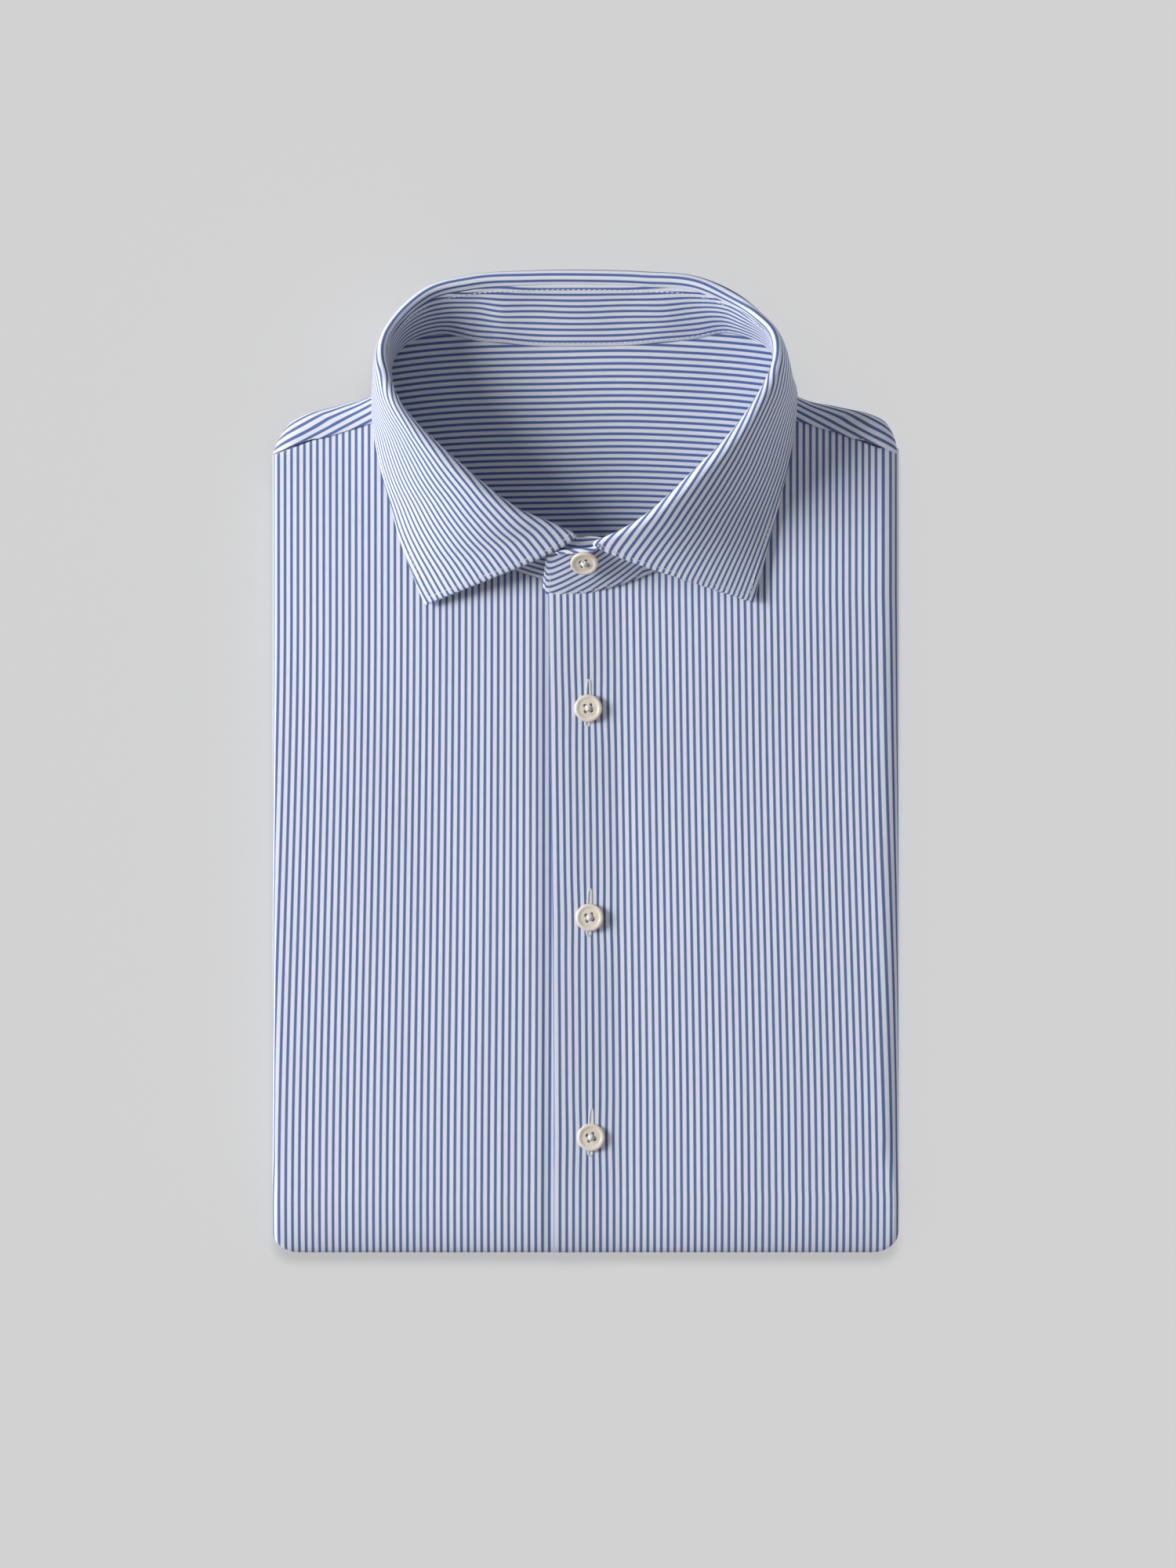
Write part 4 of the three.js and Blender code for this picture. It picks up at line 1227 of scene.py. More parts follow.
COLLAR_RIGHT: tuple[Row, ...] = (
    (-4, 71.2, 16.0, -4.1, 92.5, 34.2, -65, 63.8, 20.3, 0.7, 3),
    (-16.8, 74.4, 16.6, -14.7, 97.8, 37.4, -68.6, 72.5, 19.8, 1.6, 5),
    (-29, 78.6, 17.2, -24.8, 102.1, 40.6, -72.2, 81.5, 19.4, 2.2, 8),
    (-41.5, 86.2, 17.4, -34.4, 108.4, 44.0, -75.8, 91.5, 18.9, 2.6, 10),
    (-52.8, 95.5, 17.2, -45.2, 117.4, 47.4, -78.9, 103.5, 18.6, 3.0, 12),
    (-62.2, 106.2, 17, -56.0, 126.9, 49.7, -82.4, 115.5, 18.3, 3.2, 14),
    (-69.7, 119.5, 16.7, -66.3, 136.4, 50.5, -85.2, 128.5, 17.9, 3.2, 15),
    (-74.8, 136, 16, -73.7, 144.8, 50, -86.8, 141.5, 17.5, 2.9, 15),
    (-77.5, 150, 14.5, -78.1, 152.8, 48, -86.4, 150, 16.8, 2.5, 12),
    (-78.5, 160, 12.8, -80.8, 163, 44, -83.4, 158, 11, 2.0, 8),
    (-75.7, 166.5, 11.6, -79.8, 171.2, 39.5, -80.6, 166, 5.5, 1.7, 8),
    (-70, 171, 11.0, -74.6, 179.6, 35.5, -74.4, 172, 2, 1.8, 12),
    (-59, 173.6, 10.9, -63.5, 189.8, 32.5, -62, 176.4, 1.7, 2.1, 18),
    (-44, 171, 10.9, -46, 195, 30.5, -45, 178.4, 1.5, 2.4, 22),
    (-22, 169, 10.9, -23, 197, 29.3, -22, 179.4, 1.5, 2.5, 25),
)


@dataclass(frozen=True)
class LeafStripes:
    """How the stripes lie on one half of the leaf, from its point round to its side.

    Places are across the stripes of the cut: at the point and at the side, and there at the outer
    edge and at the roll. A bow crowds the stripes toward the roll, or toward the edge if negative.
    """

    point_edge: float
    point_roll: float
    front_bow: float
    side_bow: float
    side_edge: float = 8.0
    side_roll: float = 48.0
    reach: float = 96.0
    front_ends: float = 70.0
    side_middle: float = 78.0

    def places(self, from_point: float, share: Array) -> Array:
        """Where points lie across the stripes.

        Args:
            from_point: how far along the outer edge from the point.
            share: how far in from the outer edge, 1 at the roll.

        Returns:
            Their places in the cut.
        """
        gone = min(from_point / self.reach, 1.0) ** 0.8
        edge = self.point_edge + (self.side_edge - self.point_edge) * gone
        roll = self.point_roll + (self.side_roll - self.point_roll) * gone
        front = self.front_bow * float(smooth(self.front_ends, self.front_ends - 25.0, from_point))
        side = self.side_bow * math.exp(-(((from_point - self.side_middle) / 14.0) ** 2))
        return edge + (roll - edge) * (share + (front + side) * share * (1 - share))


@dataclass
class CollarForm:
    """The collar's shape all the way round, read finely from its table of sections."""

    step: float = 1.4
    front_drop: float = 2.6
    more_behind: float = 2.9
    seam: Array = field(init=False)
    roll: Array = field(init=False)
    edge: Array = field(init=False)
    fold: Array = field(init=False)
    swell: Array = field(init=False)

    def __post_init__(self) -> None:
        """Reads the table at even steps along the outer edge and the roll."""
        table = np.array(COLLAR_LEFT + COLLAR_BACK + tuple(reversed(COLLAR_RIGHT)), float)
        run = (lengths_along(table[:, 3:6]) + lengths_along(table[:, 6:9])) / 2
        rows = through(run, table, np.linspace(0, run[-1], int(run[-1] / self.step) + 1))
        self.seam, self.roll, self.edge = rows[:, 0:3], rows[:, 3:6], rows[:, 6:9]
        self.fold, self.swell = rows[:, 9], np.radians(rows[:, 10])

    def up(self) -> Array:
        """The way up the stand at each section."""
        return unit(self.roll - self.seam)

    def below_roll(self) -> Array:
        """How far under the roll the leaf is sewn to the stand.

        Returns:
            The distance at each section: little at the front, more behind.
        """
        run = lengths_along(self.roll)
        from_end = np.minimum(run, run[-1] - run)
        return self.front_drop + self.more_behind * smooth(0, 30, from_end)

    def out(self) -> Array:
        """The way out of the neck across the roll at each section."""
        return unit(np.cross(np.gradient(self.roll, axis=0), self.up()))


@dataclass
class CollarLeaf:
    """The fall of the collar, folded over the stand and stitched along its edges."""

    form: CollarForm
    cloths: Cloths
    thickness: float = 1.1
    stitch_in: float = 2.2
    left_stripes: LeafStripes = LeafStripes(-1.0, 76.0, 0.28, -0.12)
    right_stripes: LeafStripes = LeafStripes(1.0, 74.0, 0.17, -0.5)
    pull: float = 0.37
    grid: Panel = field(init=False)
    depth: Array = field(init=False)

    def section(self, i: int, up: Array, out: Array, inside: float) -> Array:
        """One fine section: up inside the roll, round the fold and down to the outer edge.

        Args:
            i: which section.
            up: the way up the stand.
            out: the way out of the neck.
            inside: how far under the roll the section starts.

        Returns:
            The section's points.
        """
        form = self.form

        def heading(angle: float) -> Array:
            """A direction turned from up toward out."""
            return math.cos(angle) * up + math.sin(angle) * out

        fall = form.edge[i] - form.roll[i]
        leave = math.atan2(fall @ out, fall @ up) - form.swell[i]
        centre = form.roll[i] + (out - up) * form.fold[i]
        points = [form.roll[i] - up * s for s in np.linspace(inside, form.fold[i] + 0.1, 5)]
        for angle in np.linspace(0, leave, 14):
            points.append(centre + heading(angle - math.pi / 2) * form.fold[i])
        start = points[-1]
        chord = form.edge[i] - start
        length = np.linalg.norm(chord)
        chord = chord / length
        outside = unit(out - chord * (out @ chord))
        arrive = chord * math.cos(form.swell[i]) - outside * math.sin(form.swell[i])
        straight = float(chord @ heading(leave)) ** 2
        first = start + heading(leave) * self.pull * length * straight
        second = form.edge[i] - arrive * self.pull * length
        for t in np.linspace(0, 1, 40)[1:]:
            s = 1 - t
            near = s**3 * start + 3 * s * s * t * first
            points.append(near + 3 * s * t * t * second + t**3 * form.edge[i])
        return np.array(points)

    def stripes(self, run: float, total: float, depth: Array) -> Array:
        """Where one section's points lie across the cut.

        The stripes run along the leaf behind, and leave its outer edge toward the points.

        Args:
            run: how far along the outer edge the section lies.
            total: the outer edge's length.
            depth: each point's distance in from the outer edge.

        Returns:
            The points' places across the stripes.
        """
        half = self.left_stripes if run < total / 2 else self.right_stripes
        from_end = min(run, total - run)
        width = depth[8]
        laid = half.places(from_end, np.clip(depth / width, 0, 1))
        behind = float(smooth(80.0, 96.0, from_end))
        return (laid + np.maximum(depth - width, 0)) * (1 - behind) + (half.side_edge + depth) * behind

    def panel(self) -> Panel:
        """Works out the leaf from its sections.

        Returns:
            The grid; its stripes run along it behind and fan out toward its points.
        """
        ups, outs, below = self.form.up(), self.form.out(), self.form.below_roll() - 0.3
        sections = np.array([self.section(i, ups[i], outs[i], below[i]) for i in range(len(ups))])
        runs = [lengths_along(section) for section in sections]
        self.depth = np.array([run.max() - run for run in runs])
        along = lengths_along(self.form.edge)
        across = np.array([self.stripes(run, along[-1], depth) for run, depth in zip(along, self.depth)])
        cut = np.stack([across, np.repeat(along[:, None], across.shape[1], axis=1)], axis=-1)
        return Panel(sections, cut, -1, white_edge=True)

    def build(self) -> bpy.types.Object:
        """Builds and dresses the leaf.

        Returns:
            The leaf's cloth.
        """
        self.grid = self.panel()
        shell = self.grid.shell("collar_leaf_cloth", self.thickness)
        piece = dress(shell, self.cloths.collar, "collar_cotton", "collar_leaf")
        return piece

    def on_leaf(self, row: float, depth: float) -> tuple[Array, Array]:
        """Finds a place on the leaf.

        Args:
            row: which section, with a share of the next.
            depth: the distance in from the outer edge.

        Returns:
            The point and the way out of the cloth there.
        """
        normals = self.grid.normals()
        low = int(min(max(math.floor(row), 0), len(self.grid.points) - 2))
        share = row - low
        found = []
        for i in (low, low + 1):
            order = np.argsort(self.depth[i])
            at = self.depth[i, order]
            place = [np.interp(depth, at, self.grid.points[i, order, k]) for k in range(3)]
            facing = [np.interp(depth, at, normals[i, order, k]) for k in range(3)]
            found.append([place, facing])
        both = np.array(found[0]) * (1 - share) + np.array(found[1]) * share
        return both[0], both[1]

    def stitching(self) -> bpy.types.Object:
        """The topstitch along the front edges and the outer edge.

        Returns:
            The stitches as one piece.
        """
        along = self.grid.cut[:, 0, 1]
        rows = np.arange(len(along))
        first = float(np.interp(self.stitch_in, along, rows))
        last = float(np.interp(along[-1] - self.stitch_in, along, rows))
        thread = Threads()
        for path in (
            [(first, d) for d in np.linspace(self.depth[0].max() - 5.0, self.stitch_in, 60)],
            [(r, self.stitch_in) for r in np.linspace(first, last, 400)],
            [(last, d) for d in np.linspace(self.stitch_in, self.depth[-1].max() - 5.0, 60)],
        ):
            found = [self.on_leaf(row, depth) for row, depth in path]
            line, ups = np.array([p for p, _ in found]), np.array([n for _, n in found])
            thread.stitches(line, ups, length=1.7, gap=0.5, radius=0.13)
        return dress(thread.made("collar_leaf_stitching"), self.cloths.thread, "collar_cotton")


@dataclass
class CollarStand:
    """The band that the leaf stands on, lapped at the front under its button."""

    form: CollarForm
    cloths: Cloths
    thickness: float = 0.9
    tuck: float = 1.2
    # seam x, y, z and top x, y, z at each end
    left_end: tuple[Row, ...] = (
        (-16.5, 71.6, 19.8, -16.5, 79.4, 25.9),
        (-16.4, 69.9, 18.7, -16.2, 81.6, 27.6),
        (-15.8, 68.5, 17.8, -15.1, 83.5, 29.0),
        (-14.4, 67.7, 17.5, -13.2, 85.0, 30.2),
        (-11.0, 67.5, 17.5, -10.0, 86.0, 30.9),
        (-4.0, 68.2, 17.4, -4.2, 86.5, 31.5),
    )
    right_end: tuple[Row, ...] = (
        (3.0, 70.9, 15.8, 2.5, 90.6, 31.4),
        (9.0, 71.0, 15.8, 8.5, 89.4, 30.2),
        (12.5, 73.0, 17.1, 12.5, 84.0, 26.0),
    )
    # a ripple's middle and width as shares of the band's length, and its height
    ripples: tuple[Row, ...] = (
        (0.335, 0.012, 0.35), (0.36, 0.010, -0.3), (0.395, 0.016, 0.45), (0.43, 0.014, -0.3),
        (0.47, 0.02, 0.22), (0.54, 0.018, 0.25), (0.575, 0.012, -0.35), (0.60, 0.014, 0.5),
        (0.63, 0.010, -0.3), (0.665, 0.013, 0.35), (0.25, 0.015, 0.25), (0.74, 0.016, 0.25),
    )
    slant: float = 28.0
    curl_radius: float = 1.5
    curl_turn: float = 2.6
    end_crowding: float = 0.117
    grid: Panel = field(init=False)

    def rows(self) -> tuple[Array, int, int]:
        """The band's seam and top at each section, end to end.

        Returns:
            The rows, how many belong to the left end, and how many to the right end.
        """
        top = self.form.roll - self.form.up() * self.form.below_roll()[:, None]
        middle = np.concatenate([self.form.seam, top], axis=1)

        def finer(rows: Array) -> Array:
            """The end's rows at a finer step."""
            run = lengths_along(rows[:, 3:6]) + 0.15 * np.arange(len(rows))
            return through(run, rows, np.linspace(0, run[-1], int(run[-1] / 0.6) + 1))

        left = finer(np.concatenate([np.array(self.left_end), middle[:2]]))[:-1]
        right = finer(np.concatenate([middle[-2:], np.array(self.right_end)]))[1:]
        return np.concatenate([left, middle[1:-1], right]), len(left), len(right)

    def panel(self) -> Panel:
        """Works out the band from its rows.

        Returns:
            The grid, from its seam to its top, with its lapped end curled over at the top.
        """
        rows, left, right = self.rows()
        seam, top = rows[:, :3], rows[:, 3:]
        up = unit(top - seam)
        out = unit(np.cross(np.gradient(top, axis=0), up))
        height = np.linalg.norm(top - seam, axis=1)
        along = lengths_along((seam + top) / 2)
        number = np.arange(len(rows))
        tucked = self.tuck * ((number >= left) & (number < len(rows) - right))
        x = seam[:, 0]
        curl = smooth(-16.4, -11.5, x) * smooth(9.0, 3.0, x) * (number < left + 8)
        curl_back = smooth(12.5, 8.0, x) * (number >= len(rows) - right)
        turn = math.tan(math.radians(self.slant)) * np.minimum(along, along[left] + 18.0)
        shares = np.concatenate([np.linspace(0, 0.9, 20)[:-1], np.linspace(0.9, 1, 14)])
        waves = self.waves(along, along[-1])
        points, cut = [], []
        for i in range(len(rows)):
            full = height[i] + tucked[i] + 2.6 * curl[i]
            s = shares * full
            lean = 0.85 * smooth(height[i] - 0.3, height[i] + 0.9, s) * (tucked[i] > 0)
            radius = self.curl_radius
            curl_start = full - radius * self.curl_turn * curl[i]
            angle = np.clip((s - curl_start) / radius, 0, self.curl_turn) * curl[i]
            bent = np.where(angle > 0, curl_start + radius * np.sin(angle), s)
            lean = lean + np.where(angle > 0, radius * (1 - np.cos(angle)), 0.0)
            lean = lean - 0.9 * curl_back[i] * smooth(0.75, 1.0, shares) ** 2
            wave = waves[i] * np.sin(math.pi * np.clip(shares * 1.08, 0, 1)) ** 0.7
            line = seam[i] + up[i] * bent[:, None] + out[i] * (lean + wave)[:, None]
            points.append(line)
            drift = turn[i] * math.cos(math.radians(self.slant))
            lay = s * (1 - self.end_crowding * (number[i] < left + 14))
            across = lay - drift + 0.9 * waves[i] * np.sin(2.2 * math.pi * shares + 0.8)
            cut.append(np.stack([across, np.full(len(s), along[i])], axis=-1))
        return Panel(np.array(points), np.array(cut), -1, white_edge=True)

    def waves(self, along: Array, total: float) -> Array:
        """Slack ripples of the band's inner cloth.

        Args:
            along: how far along the band each section lies.
            total: the band's length.

        Returns:
            How far each section stands out.
        """
        share = along / total
        ripple = np.zeros(len(along))
        for centre, width, height in self.ripples:
            ripple += height * np.exp(-(((share - centre) / width) ** 2))
        return ripple

    def build(self) -> bpy.types.Object:
        """Builds and dresses the band.

        Returns:
            The band's cloth.
        """
        self.grid = self.panel()
        shell = self.grid.shell("collar_stand_cloth", self.thickness)
        piece = dress(shell, self.cloths.collar, "collar_cotton", "collar_stand")
        return piece

    def on_band(self, row: int, up: float) -> tuple[Array, Array]:
        """Finds a place on the band's outer face.

        Args:
            row: which section.
            up: the height over the seam.

        Returns:
            The point and the way out of the cloth there.
        """
        run = lengths_along(self.grid.points[row])
        normals = self.grid.normals()[row]
        place = np.array([np.interp(up, run, self.grid.points[row, :, k]) for k in range(3)])
        inward = unit(np.array([np.interp(up, run, normals[:, k]) for k in range(3)]))
        return place - inward * self.thickness, -inward

    def stitching(self) -> bpy.types.Object:
        """Two runs round the inside of the neck, and one along the edge of the lapped end.

        Returns:
            The stitches as one piece.
        """
        _, left, right = self.rows()
        normals = self.grid.normals()
        inner = range(left + 6, len(self.grid.points) - right - 6)
        thread = Threads()
        for place in (1.5, -2.3):
            line, ups = [], []
            for i in inner:
                run = lengths_along(self.grid.points[i])
                at = place if place > 0 else run[-1] - self.tuck + place
                line.append([np.interp(at, run, self.grid.points[i, :, k]) for k in range(3)])
                ups.append([np.interp(at, run, normals[i, :, k]) for k in range(3)])
            thread.stitches(np.array(line), np.array(ups), length=1.5, gap=0.6, radius=0.16)
        edge_in = 1.5
        first = int(np.argmax(self.grid.points[:, 0, 0] > self.grid.points[0, 0, 0] + edge_in))
        path = [(first, at) for at in np.arange(13.0, edge_in, -0.7)]
        path += [(i, edge_in) for i in range(first + 1, left + 24)]
        found = [self.on_band(i, at) for i, at in path]
        line, ups = np.array([p for p, _ in found]), np.array([n for _, n in found])
        thread.stitches(line, ups, length=1.5, gap=0.6, radius=0.12)
        return dress(thread.made("collar_stand_stitching"), self.cloths.thread, "collar_cotton")


# ------------------------------------------------------------------ buttons and their sewing
@dataclass
class Button:
    """A four-hole button with a rounded rim and a dished face, sewn on with crossed thread."""

    name: str
    centre: tuple[float, float, float]
    tilt: float
    cloths: Cloths
    radius: float = 5.65
    hole: float = 0.6
    pitch: float = 1.2
    turn: float = 0.0
    strand_gap: float = 0.32
    strand_radius: float = 0.29
    strand_reach: float = 0.84
    strand_rise: float = 0.62

    def place(self, points: Array) -> Array:
        """Turns the button's own points into the shirt's frame.

        Args:
            points: points on an upright button at the middle.

        Returns:
            The same points, turned, tilted and moved to the centre.
        """
        c, s = math.cos(self.tilt), math.sin(self.tilt)
        ct, st = math.cos(self.turn), math.sin(self.turn)
        x = points[..., 0] * ct - points[..., 1] * st
        y = points[..., 0] * st + points[..., 1] * ct
        z = points[..., 2]
        return np.stack([x, y * c - z * s, y * s + z * c], axis=-1) + np.array(self.centre)

    def face_height(self, x: Array, y: Array) -> Array:
        """The height of the button's face above its back, sunk at the four holes.

        Args:
            x: places across.
            y: places along.

        Returns:
            The height at each place.
        """
        r = np.hypot(x, y)
        profile_r = np.array([0, 3.5, 3.8, 4.1, 4.5, 4.9, 5.2, 5.45, 5.6, 5.65])
        profile_z = np.array([1.5, 1.54, 1.6, 1.74, 1.88, 1.9, 1.84, 1.66, 1.4, 1.05])
        height = np.interp(r, profile_r, profile_z)
        for sx in (-1, 1):
            for sy in (-1, 1):
                away = np.hypot(x - sx * self.pitch, y - sy * self.pitch)
                height = height - 1.4 * smooth(self.hole + 0.14, self.hole - 0.1, away)
        return height

    def disc(self) -> bpy.types.Object:
        """The button's body.

        Returns:
            The body, not yet dressed.
        """
        rings = np.concatenate([np.linspace(0.05, 3.0, 34), np.linspace(3.1, 5.65, 26)])
        angles = np.linspace(0, 2 * math.pi, 97)[:-1]
        r, a = np.meshgrid(rings, angles, indexing="ij")
        x, y = r * np.cos(a), r * np.sin(a)
        top = np.stack([x, y, self.face_height(x, y)], axis=-1)
        back_r = np.array([5.6, 5.35, 4.8, 4.2, 0.05])
        back_z = np.array([0.7, 0.35, 0.1, 0.0, 0.0])
        back_x = back_r[:, None] * np.cos(angles)
        back_y = back_r[:, None] * np.sin(angles)
        back_heights = np.repeat(back_z[:, None], len(angles), axis=1)
        back = np.stack([back_x, back_y, back_heights], axis=-1)
        grid = np.concatenate([top, back])
        rows, columns = grid.shape[:2]
        index = np.arange(rows * columns).reshape(rows, columns)
        after = np.roll(index, -1, axis=1)
        walls = np.stack([index[:-1], index[1:], after[1:], after[:-1]], axis=-1)
        faces = [tuple(wall) for wall in walls.reshape(-1, 4)]
        faces += [tuple(index[0]), tuple(index[-1][::-1])]
        return mesh_object(f"{self.name}_shape", self.place(grid.reshape(-1, 3)), faces)

    def sewing(self) -> bpy.types.Object:
        """Crossed strands through the four holes.

        Returns:
            The dressed thread.
        """
        thread = Threads(sides=7)
        chance = random.Random(self.name)
        for sx, sy in ((1, 1), (1, -1)):
            for k in range(3):
                off = (k - 1) * self.strand_gap
                side = np.array([-sy, sx]) / math.sqrt(2) * off
                t = np.linspace(-1, 1, 13)
                x = t * sx * self.pitch * self.strand_reach + side[0] * (1 - 0.5 * t**2)
                y = t * sy * self.pitch * self.strand_reach + side[1] * (1 - 0.5 * t**2)
                crossing = 0.16 if sy > 0 else 0.0
                over = self.strand_rise * np.clip(1 - t**2, 0, 1) + crossing * np.exp(-((t / 0.4) ** 2))
                z = 1.52 + over - 1.0 * smooth(0.72, 1.0, np.abs(t)) + chance.uniform(-0.04, 0.05)
                thread.strand(self.place(np.stack([x, y, z], axis=-1)), self.strand_radius)
        return dress(thread.made(f"{self.name}_thread"), self.cloths.thread, "button_resin")

    def build(self) -> list[bpy.types.Object]:
        """Builds and dresses the button and its thread."""
        return [dress(self.disc(), self.cloths.resin, "button_resin", self.name), self.sewing()]


@dataclass
class Buttonhole:
    """A worked buttonhole: a fine satin column of thread all round a narrow slit."""

    name: str
    low: Point2
    high: Point2
    surface: Callable[[Array, Array], Array]
    cloths: Cloths
    half_width: float = 1.05
    column: float = 1.15
    pitch: float = 0.28
    thread_radius: float = 0.14
    thread_lift: float = 0.13

    def loop(self) -> Array:
        """The middle of the satin column in plan.

        Returns:
            Points up one side, round the end, and down the other.
        """
        low, high = np.array(self.low), np.array(self.high)
        along = unit(high - low)
        side = np.array([along[1], -along[0]])
        length = float(np.linalg.norm(high - low))
        t = np.linspace(0, 2 * math.pi, 121)
        reach = length / 2 * np.sign(np.cos(t)) * (1 - (1 - np.abs(np.cos(t))) ** 1.6)
        narrowing = 0.85 - 0.3 * reach / length
        spread = self.half_width * np.sign(np.sin(t)) * np.abs(np.sin(t)) ** 0.6 * narrowing
        return (low + high) / 2 + along * reach[:, None] + side * spread[:, None]

    def build(self) -> bpy.types.Object:
        """Builds and dresses the buttonhole.

        Returns:
            The satin stitches as one piece.
        """
        thread = Threads(sides=5)
        chance = random.Random(self.name)
        loop = self.loop()
        run = lengths_along(loop)
        headings = unit(np.gradient(loop, axis=0))
        for s in np.arange(0.0, run[-1], self.pitch):
            place = resampled(loop, np.array([s]))[0]
            heading = unit(np.array([np.interp(s, run, headings[:, k]) for k in range(2)]))
            direction = np.array([heading[1], -heading[0]]) + heading * chance.uniform(-0.12, 0.12)
            t = np.array([-1, -0.7, 0.0, 0.7, 1.0])
            plan = place + direction * self.column * chance.uniform(0.92, 1.06) / 2 * t[:, None]
            arch = self.thread_lift * np.array([-0.8, 0.3, 0.8, 0.3, -0.8])
            z = self.surface(plan[:, 0], plan[:, 1]) + arch
            thread.strand(np.column_stack([plan, z]), self.thread_radius)
        return dress(thread.made(self.name), self.cloths.thread, "striped_cotton")


# ------------------------------------------------------------------ setting
@dataclass
class Studio:
    """The pale floor, the soft lights and the camera above."""

    floor_tone: tuple[float, float, float] = (168, 168, 168)
    view_height: float = 635.0
    view_centre: Point2 = (0.95, -8.9)
    focus_height: float = 20.0
    lens: float = 250.0
    key_turn: float = 169.0
    key_height: float = 30.5
    key_distance: float = 2.6
    key_softness: float = 24.0
    key_strength: float = 4.03
    paper_strength: float = 6.15
    edge_turn: float = 90.0
    edge_height: float = 62.0
    edge_strength: float = 1.2
    edge_softness: float = 24.0
    low_turn: float = -12.0
    low_height: float = 14.0
    low_strength: float = 0.35
    fill_strength: float = 0.3

    def floor(self) -> bpy.types.Object:
        """A plain pale floor under everything.

        Returns:
            The floor.
        """
        side = 4000.0
        below = -0.02
        turns = ((-1, -1), (1, -1), (1, 1), (-1, 1))
        corners = np.array([(x * side, y * side, below) for x, y in turns])
        piece = mesh_object("studio_floor", corners, [(0, 1, 2, 3)])
        made = bpy.data.materials.new("Studio paper")
        made.use_nodes = True
        graph = Graph(made.node_tree)
        shader = made.node_tree.nodes["Principled BSDF"]
        grain = graph.noise(graph.node("ShaderNodeTexCoord").outputs["Object"], 700.0)
        lighter = linear(*(c * 1.004 for c in self.floor_tone))
        graph.feed(shader.inputs["Base Color"], graph.mixed(grain, linear(*self.floor_tone), lighter))
        shader.inputs["Roughness"].default_value = 0.95
        shader.inputs["Specular IOR Level"].default_value = 0.1
        piece.data.materials.append(made)
        return piece

    def aimed(self, name: str, kind: str, turn: float, height: float, away: float) -> bpy.types.Object:
        """Places a lamp that shines on the shirt.

        Args:
            name: the lamp's name.
            kind: Blender's kind of light.
            turn: its direction round the shirt, in degrees from +X.
            height: its angle above the floor.
            away: its distance in metres.

        Returns:
            The lamp.
        """
        lamp = bpy.data.objects.new(name, bpy.data.lights.new(name, kind))
        turn, height = math.radians(turn), math.radians(height)
        level = math.cos(height)
        toward = Vector((math.cos(turn) * level, math.sin(turn) * level, math.sin(height)))
        lamp.rotation_euler = toward.to_track_quat("Z", "Y").to_euler()
        lamp.location = toward * away
        bpy.context.scene.collection.objects.link(lamp)
        return lamp

    def limited(
        self, lamp: bpy.types.Object, floor: bpy.types.Object, lights_floor: bool, shaded: bool = True
    ) -> None:
        """Lets a lamp light the floor alone, or everything but the floor.

        Args:
            lamp: the lamp.
            floor: the floor.
            lights_floor: whether the floor is all that it lights.
            shaded: whether the shirt keeps its light off the floor.
        """
        reached = bpy.data.collections.new(f"{lamp.name}_reaches")
        reached.objects.link(floor)
        reached.collection_objects[0].light_linking.link_state = "INCLUDE" if lights_floor else "EXCLUDE"
        lamp.light_linking.receiver_collection = reached
        if not shaded:
            lamp.light_linking.blocker_collection = reached

    def lights(self, floor: bpy.types.Object) -> None:
        """Sets a soft key and a weak low light for the shirt, two suns for the floor, and a fill.

        Args:
            floor: the floor, which the key and the low light leave out.
        """
        key = self.aimed("key", "AREA", self.key_turn, self.key_height, self.key_distance)
        key.data.shape = "DISK"
        key.data.size = 2 * self.key_distance * math.tan(math.radians(self.key_softness / 2))
        key.data.energy = self.key_strength * math.pi * self.key_distance**2
        self.limited(key, floor, False)
        paper = self.aimed("paper_light", "SUN", self.key_turn, self.key_height, 2.0)
        paper.data.energy = self.paper_strength
        self.limited(paper, floor, True, shaded=False)
        edge = self.aimed("edge_light", "SUN", self.edge_turn, self.edge_height, 2.0)
        edge.data.energy = self.edge_strength
        edge.data.angle = math.radians(self.edge_softness)
        self.limited(edge, floor, True)
        low = self.aimed("low_fill", "AREA", self.low_turn, self.low_height, 2.0)
        low.data.shape = "DISK"
        low.data.size = 0.9
        low.data.energy = self.low_strength * math.pi * 4.0
        self.limited(low, floor, False)
        world = bpy.data.worlds.new("studio")
        world.use_nodes = True
        sky = world.node_tree.nodes["Background"]
        sky.inputs["Color"].default_value = (1.0, 1.0, 1.0, 1.0)
        sky.inputs["Strength"].default_value = self.fill_strength
        bpy.context.scene.world = world

    def camera(self) -> None:
        """A long lens straight above, framing a view of the given height."""
        data = bpy.data.cameras.new("camera")
        data.lens = self.lens
        data.sensor_width = 36.0
        data.clip_end = 100.0
        camera = bpy.data.objects.new("camera", data)
        away = self.view_height * self.lens / data.sensor_width + self.focus_height
        camera.location = (self.view_centre[0] * MM, self.view_centre[1] * MM, away * MM)
        bpy.context.scene.collection.objects.link(camera)
        bpy.context.scene.camera = camera

    def build(self) -> None:
        """Sets everything up, with plain screen colours."""
        self.lights(self.floor())
        self.camera()
        bpy.context.scene.view_settings.view_transform = "Standard"


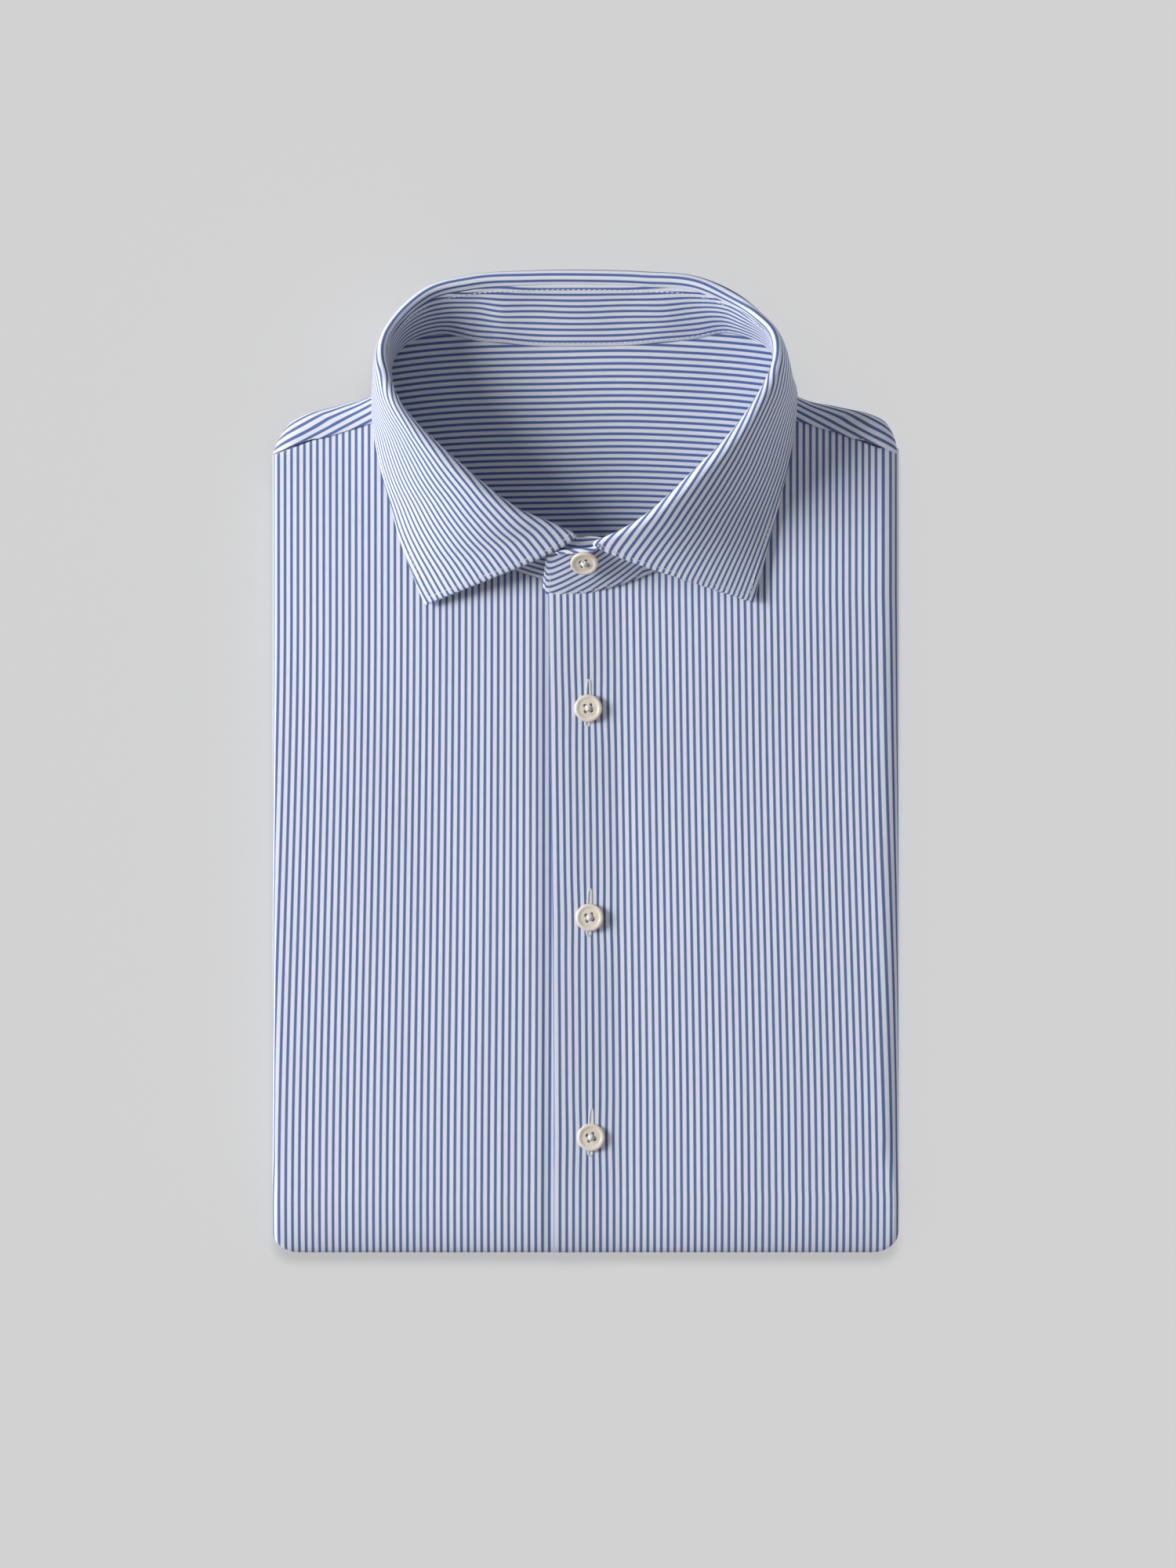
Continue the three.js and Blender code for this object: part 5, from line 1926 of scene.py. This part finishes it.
# ------------------------------------------------------------------ the whole shirt
# seam x, y and shoulder fold x, y
SHOULDER_RIGHT: tuple[Row, ...] = (
    (-79.0, 141.4, -80.4, 152.0),
    (-87.4, 138.9, -88.4, 147.8),
    (-97.0, 135.9, -102.0, 144.1),
    (-105.0, 133.2, -114.3, 140.8),
    (-108.0, 132.1, -119.6, 137.8),
    (-110.5, 131.1, -124.0, 131.8),
    (-112.5, 130.3, -126.8, 125.3),
)
SHOULDER_LEFT: tuple[Row, ...] = (
    (79.0, 141.9, 80.0, 151.4),
    (87.4, 139.6, 88.4, 147.2),
    (97.0, 136.6, 103.0, 144.0),
    (105.0, 133.9, 115.8, 141.0),
    (108.0, 132.4, 121.3, 138.2),
    (110.5, 131.1, 125.0, 132.4),
    (112.5, 130.3, 126.8, 125.3),
)
CREASES_LEFT = (
    Crease(((22, 40), (24, -20), (21, -70)), 0.22, 7.0),
    Crease(((60, 30), (58, -60), (66, -150)), -0.18, 14.0),
    Crease(((100, 110), (96, 40), (102, -40)), 0.2, 12.0),
    Crease(((20, -178), (70, -176), (115, -182)), -0.25, 6.0),
)
CREASES_RIGHT = (
    Crease(((-17, -70), (-28, -78), (-40, -84)), 0.16, 4.0),
    Crease(((-18, -60), (-30, -66), (-44, -76)), -0.14, 4.0),
    Crease(((-60, 50), (-64, -50), (-58, -140)), -0.2, 15.0),
    Crease(((-104, 100), (-98, 20), (-101, -60)), 0.18, 12.0),
    Crease(((-20, -180), (-60, -175), (-112, -181)), -0.22, 6.0),
)
TAIL_CREASES = (
    Crease(((-110, -150), (-60, -120), (-20, -128)), 0.45, 6.0),
    Crease(((20, -160), (52, -90), (44, -10)), 0.5, 7.0),
    Crease(((-90, 20), (-40, 44), (30, 38), (96, 70)), 0.55, 8.0),
    Crease(((70, -150), (104, -110), (116, -40)), 0.4, 5.0),
    Crease(((-100, 90), (-30, 84), (40, 98)), 0.4, 6.0),
)


def main() -> None:
    """Builds the shirt piece by piece on the loaded frame."""
    logging.basicConfig(level=logging.INFO, format="%(name)s %(message)s")
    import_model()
    Studio().build()
    cloths = Cloths(Groups())
    left = Front(Side.LEFT, cloths, CREASES_LEFT, tail_creases=TAIL_CREASES)
    right = Front(Side.RIGHT, cloths, CREASES_RIGHT, fold_width=1.3, tail_creases=TAIL_CREASES)
    left.build()
    right.build()
    ShoulderStrip(Side.LEFT, cloths, SHOULDER_LEFT).build()
    ShoulderStrip(Side.RIGHT, cloths, SHOULDER_RIGHT).build()
    YokeLining(cloths).build()
    HiddenLayers(cloths).build()
    form = CollarForm()
    stand = CollarStand(form, cloths)
    stand.build()
    stand.stitching()
    leaf = CollarLeaf(form, cloths)
    leaf.build()
    leaf.stitching()
    for number, (x, y) in enumerate(PLACKET_BUTTONS, start=1):
        height = float(chest_height(x, y)) + 0.12
        Button(f"button_{number}", (x, y, height), 0.0, cloths, turn=0.1 * number).build()
        foot, head = (x - 0.3, y - 7.3), (x + 0.2, y + 11.4)
        Buttonhole(f"buttonhole_{number}", foot, head, left.surface, cloths).build()
    low, high = (np.array(tuple(corner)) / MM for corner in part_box("button_collar"))
    band_rise = 31.2 - 17.4
    band_depth = 85.8 - 68.7
    slope = math.atan2(band_rise, band_depth)
    centre = (low + high) / 2 - np.array([0.0, -math.sin(slope), math.cos(slope)]) * 1.45
    Button("button_collar", tuple(centre), slope, cloths, turn=0.3).build()


if __name__ == "__main__":
    main()
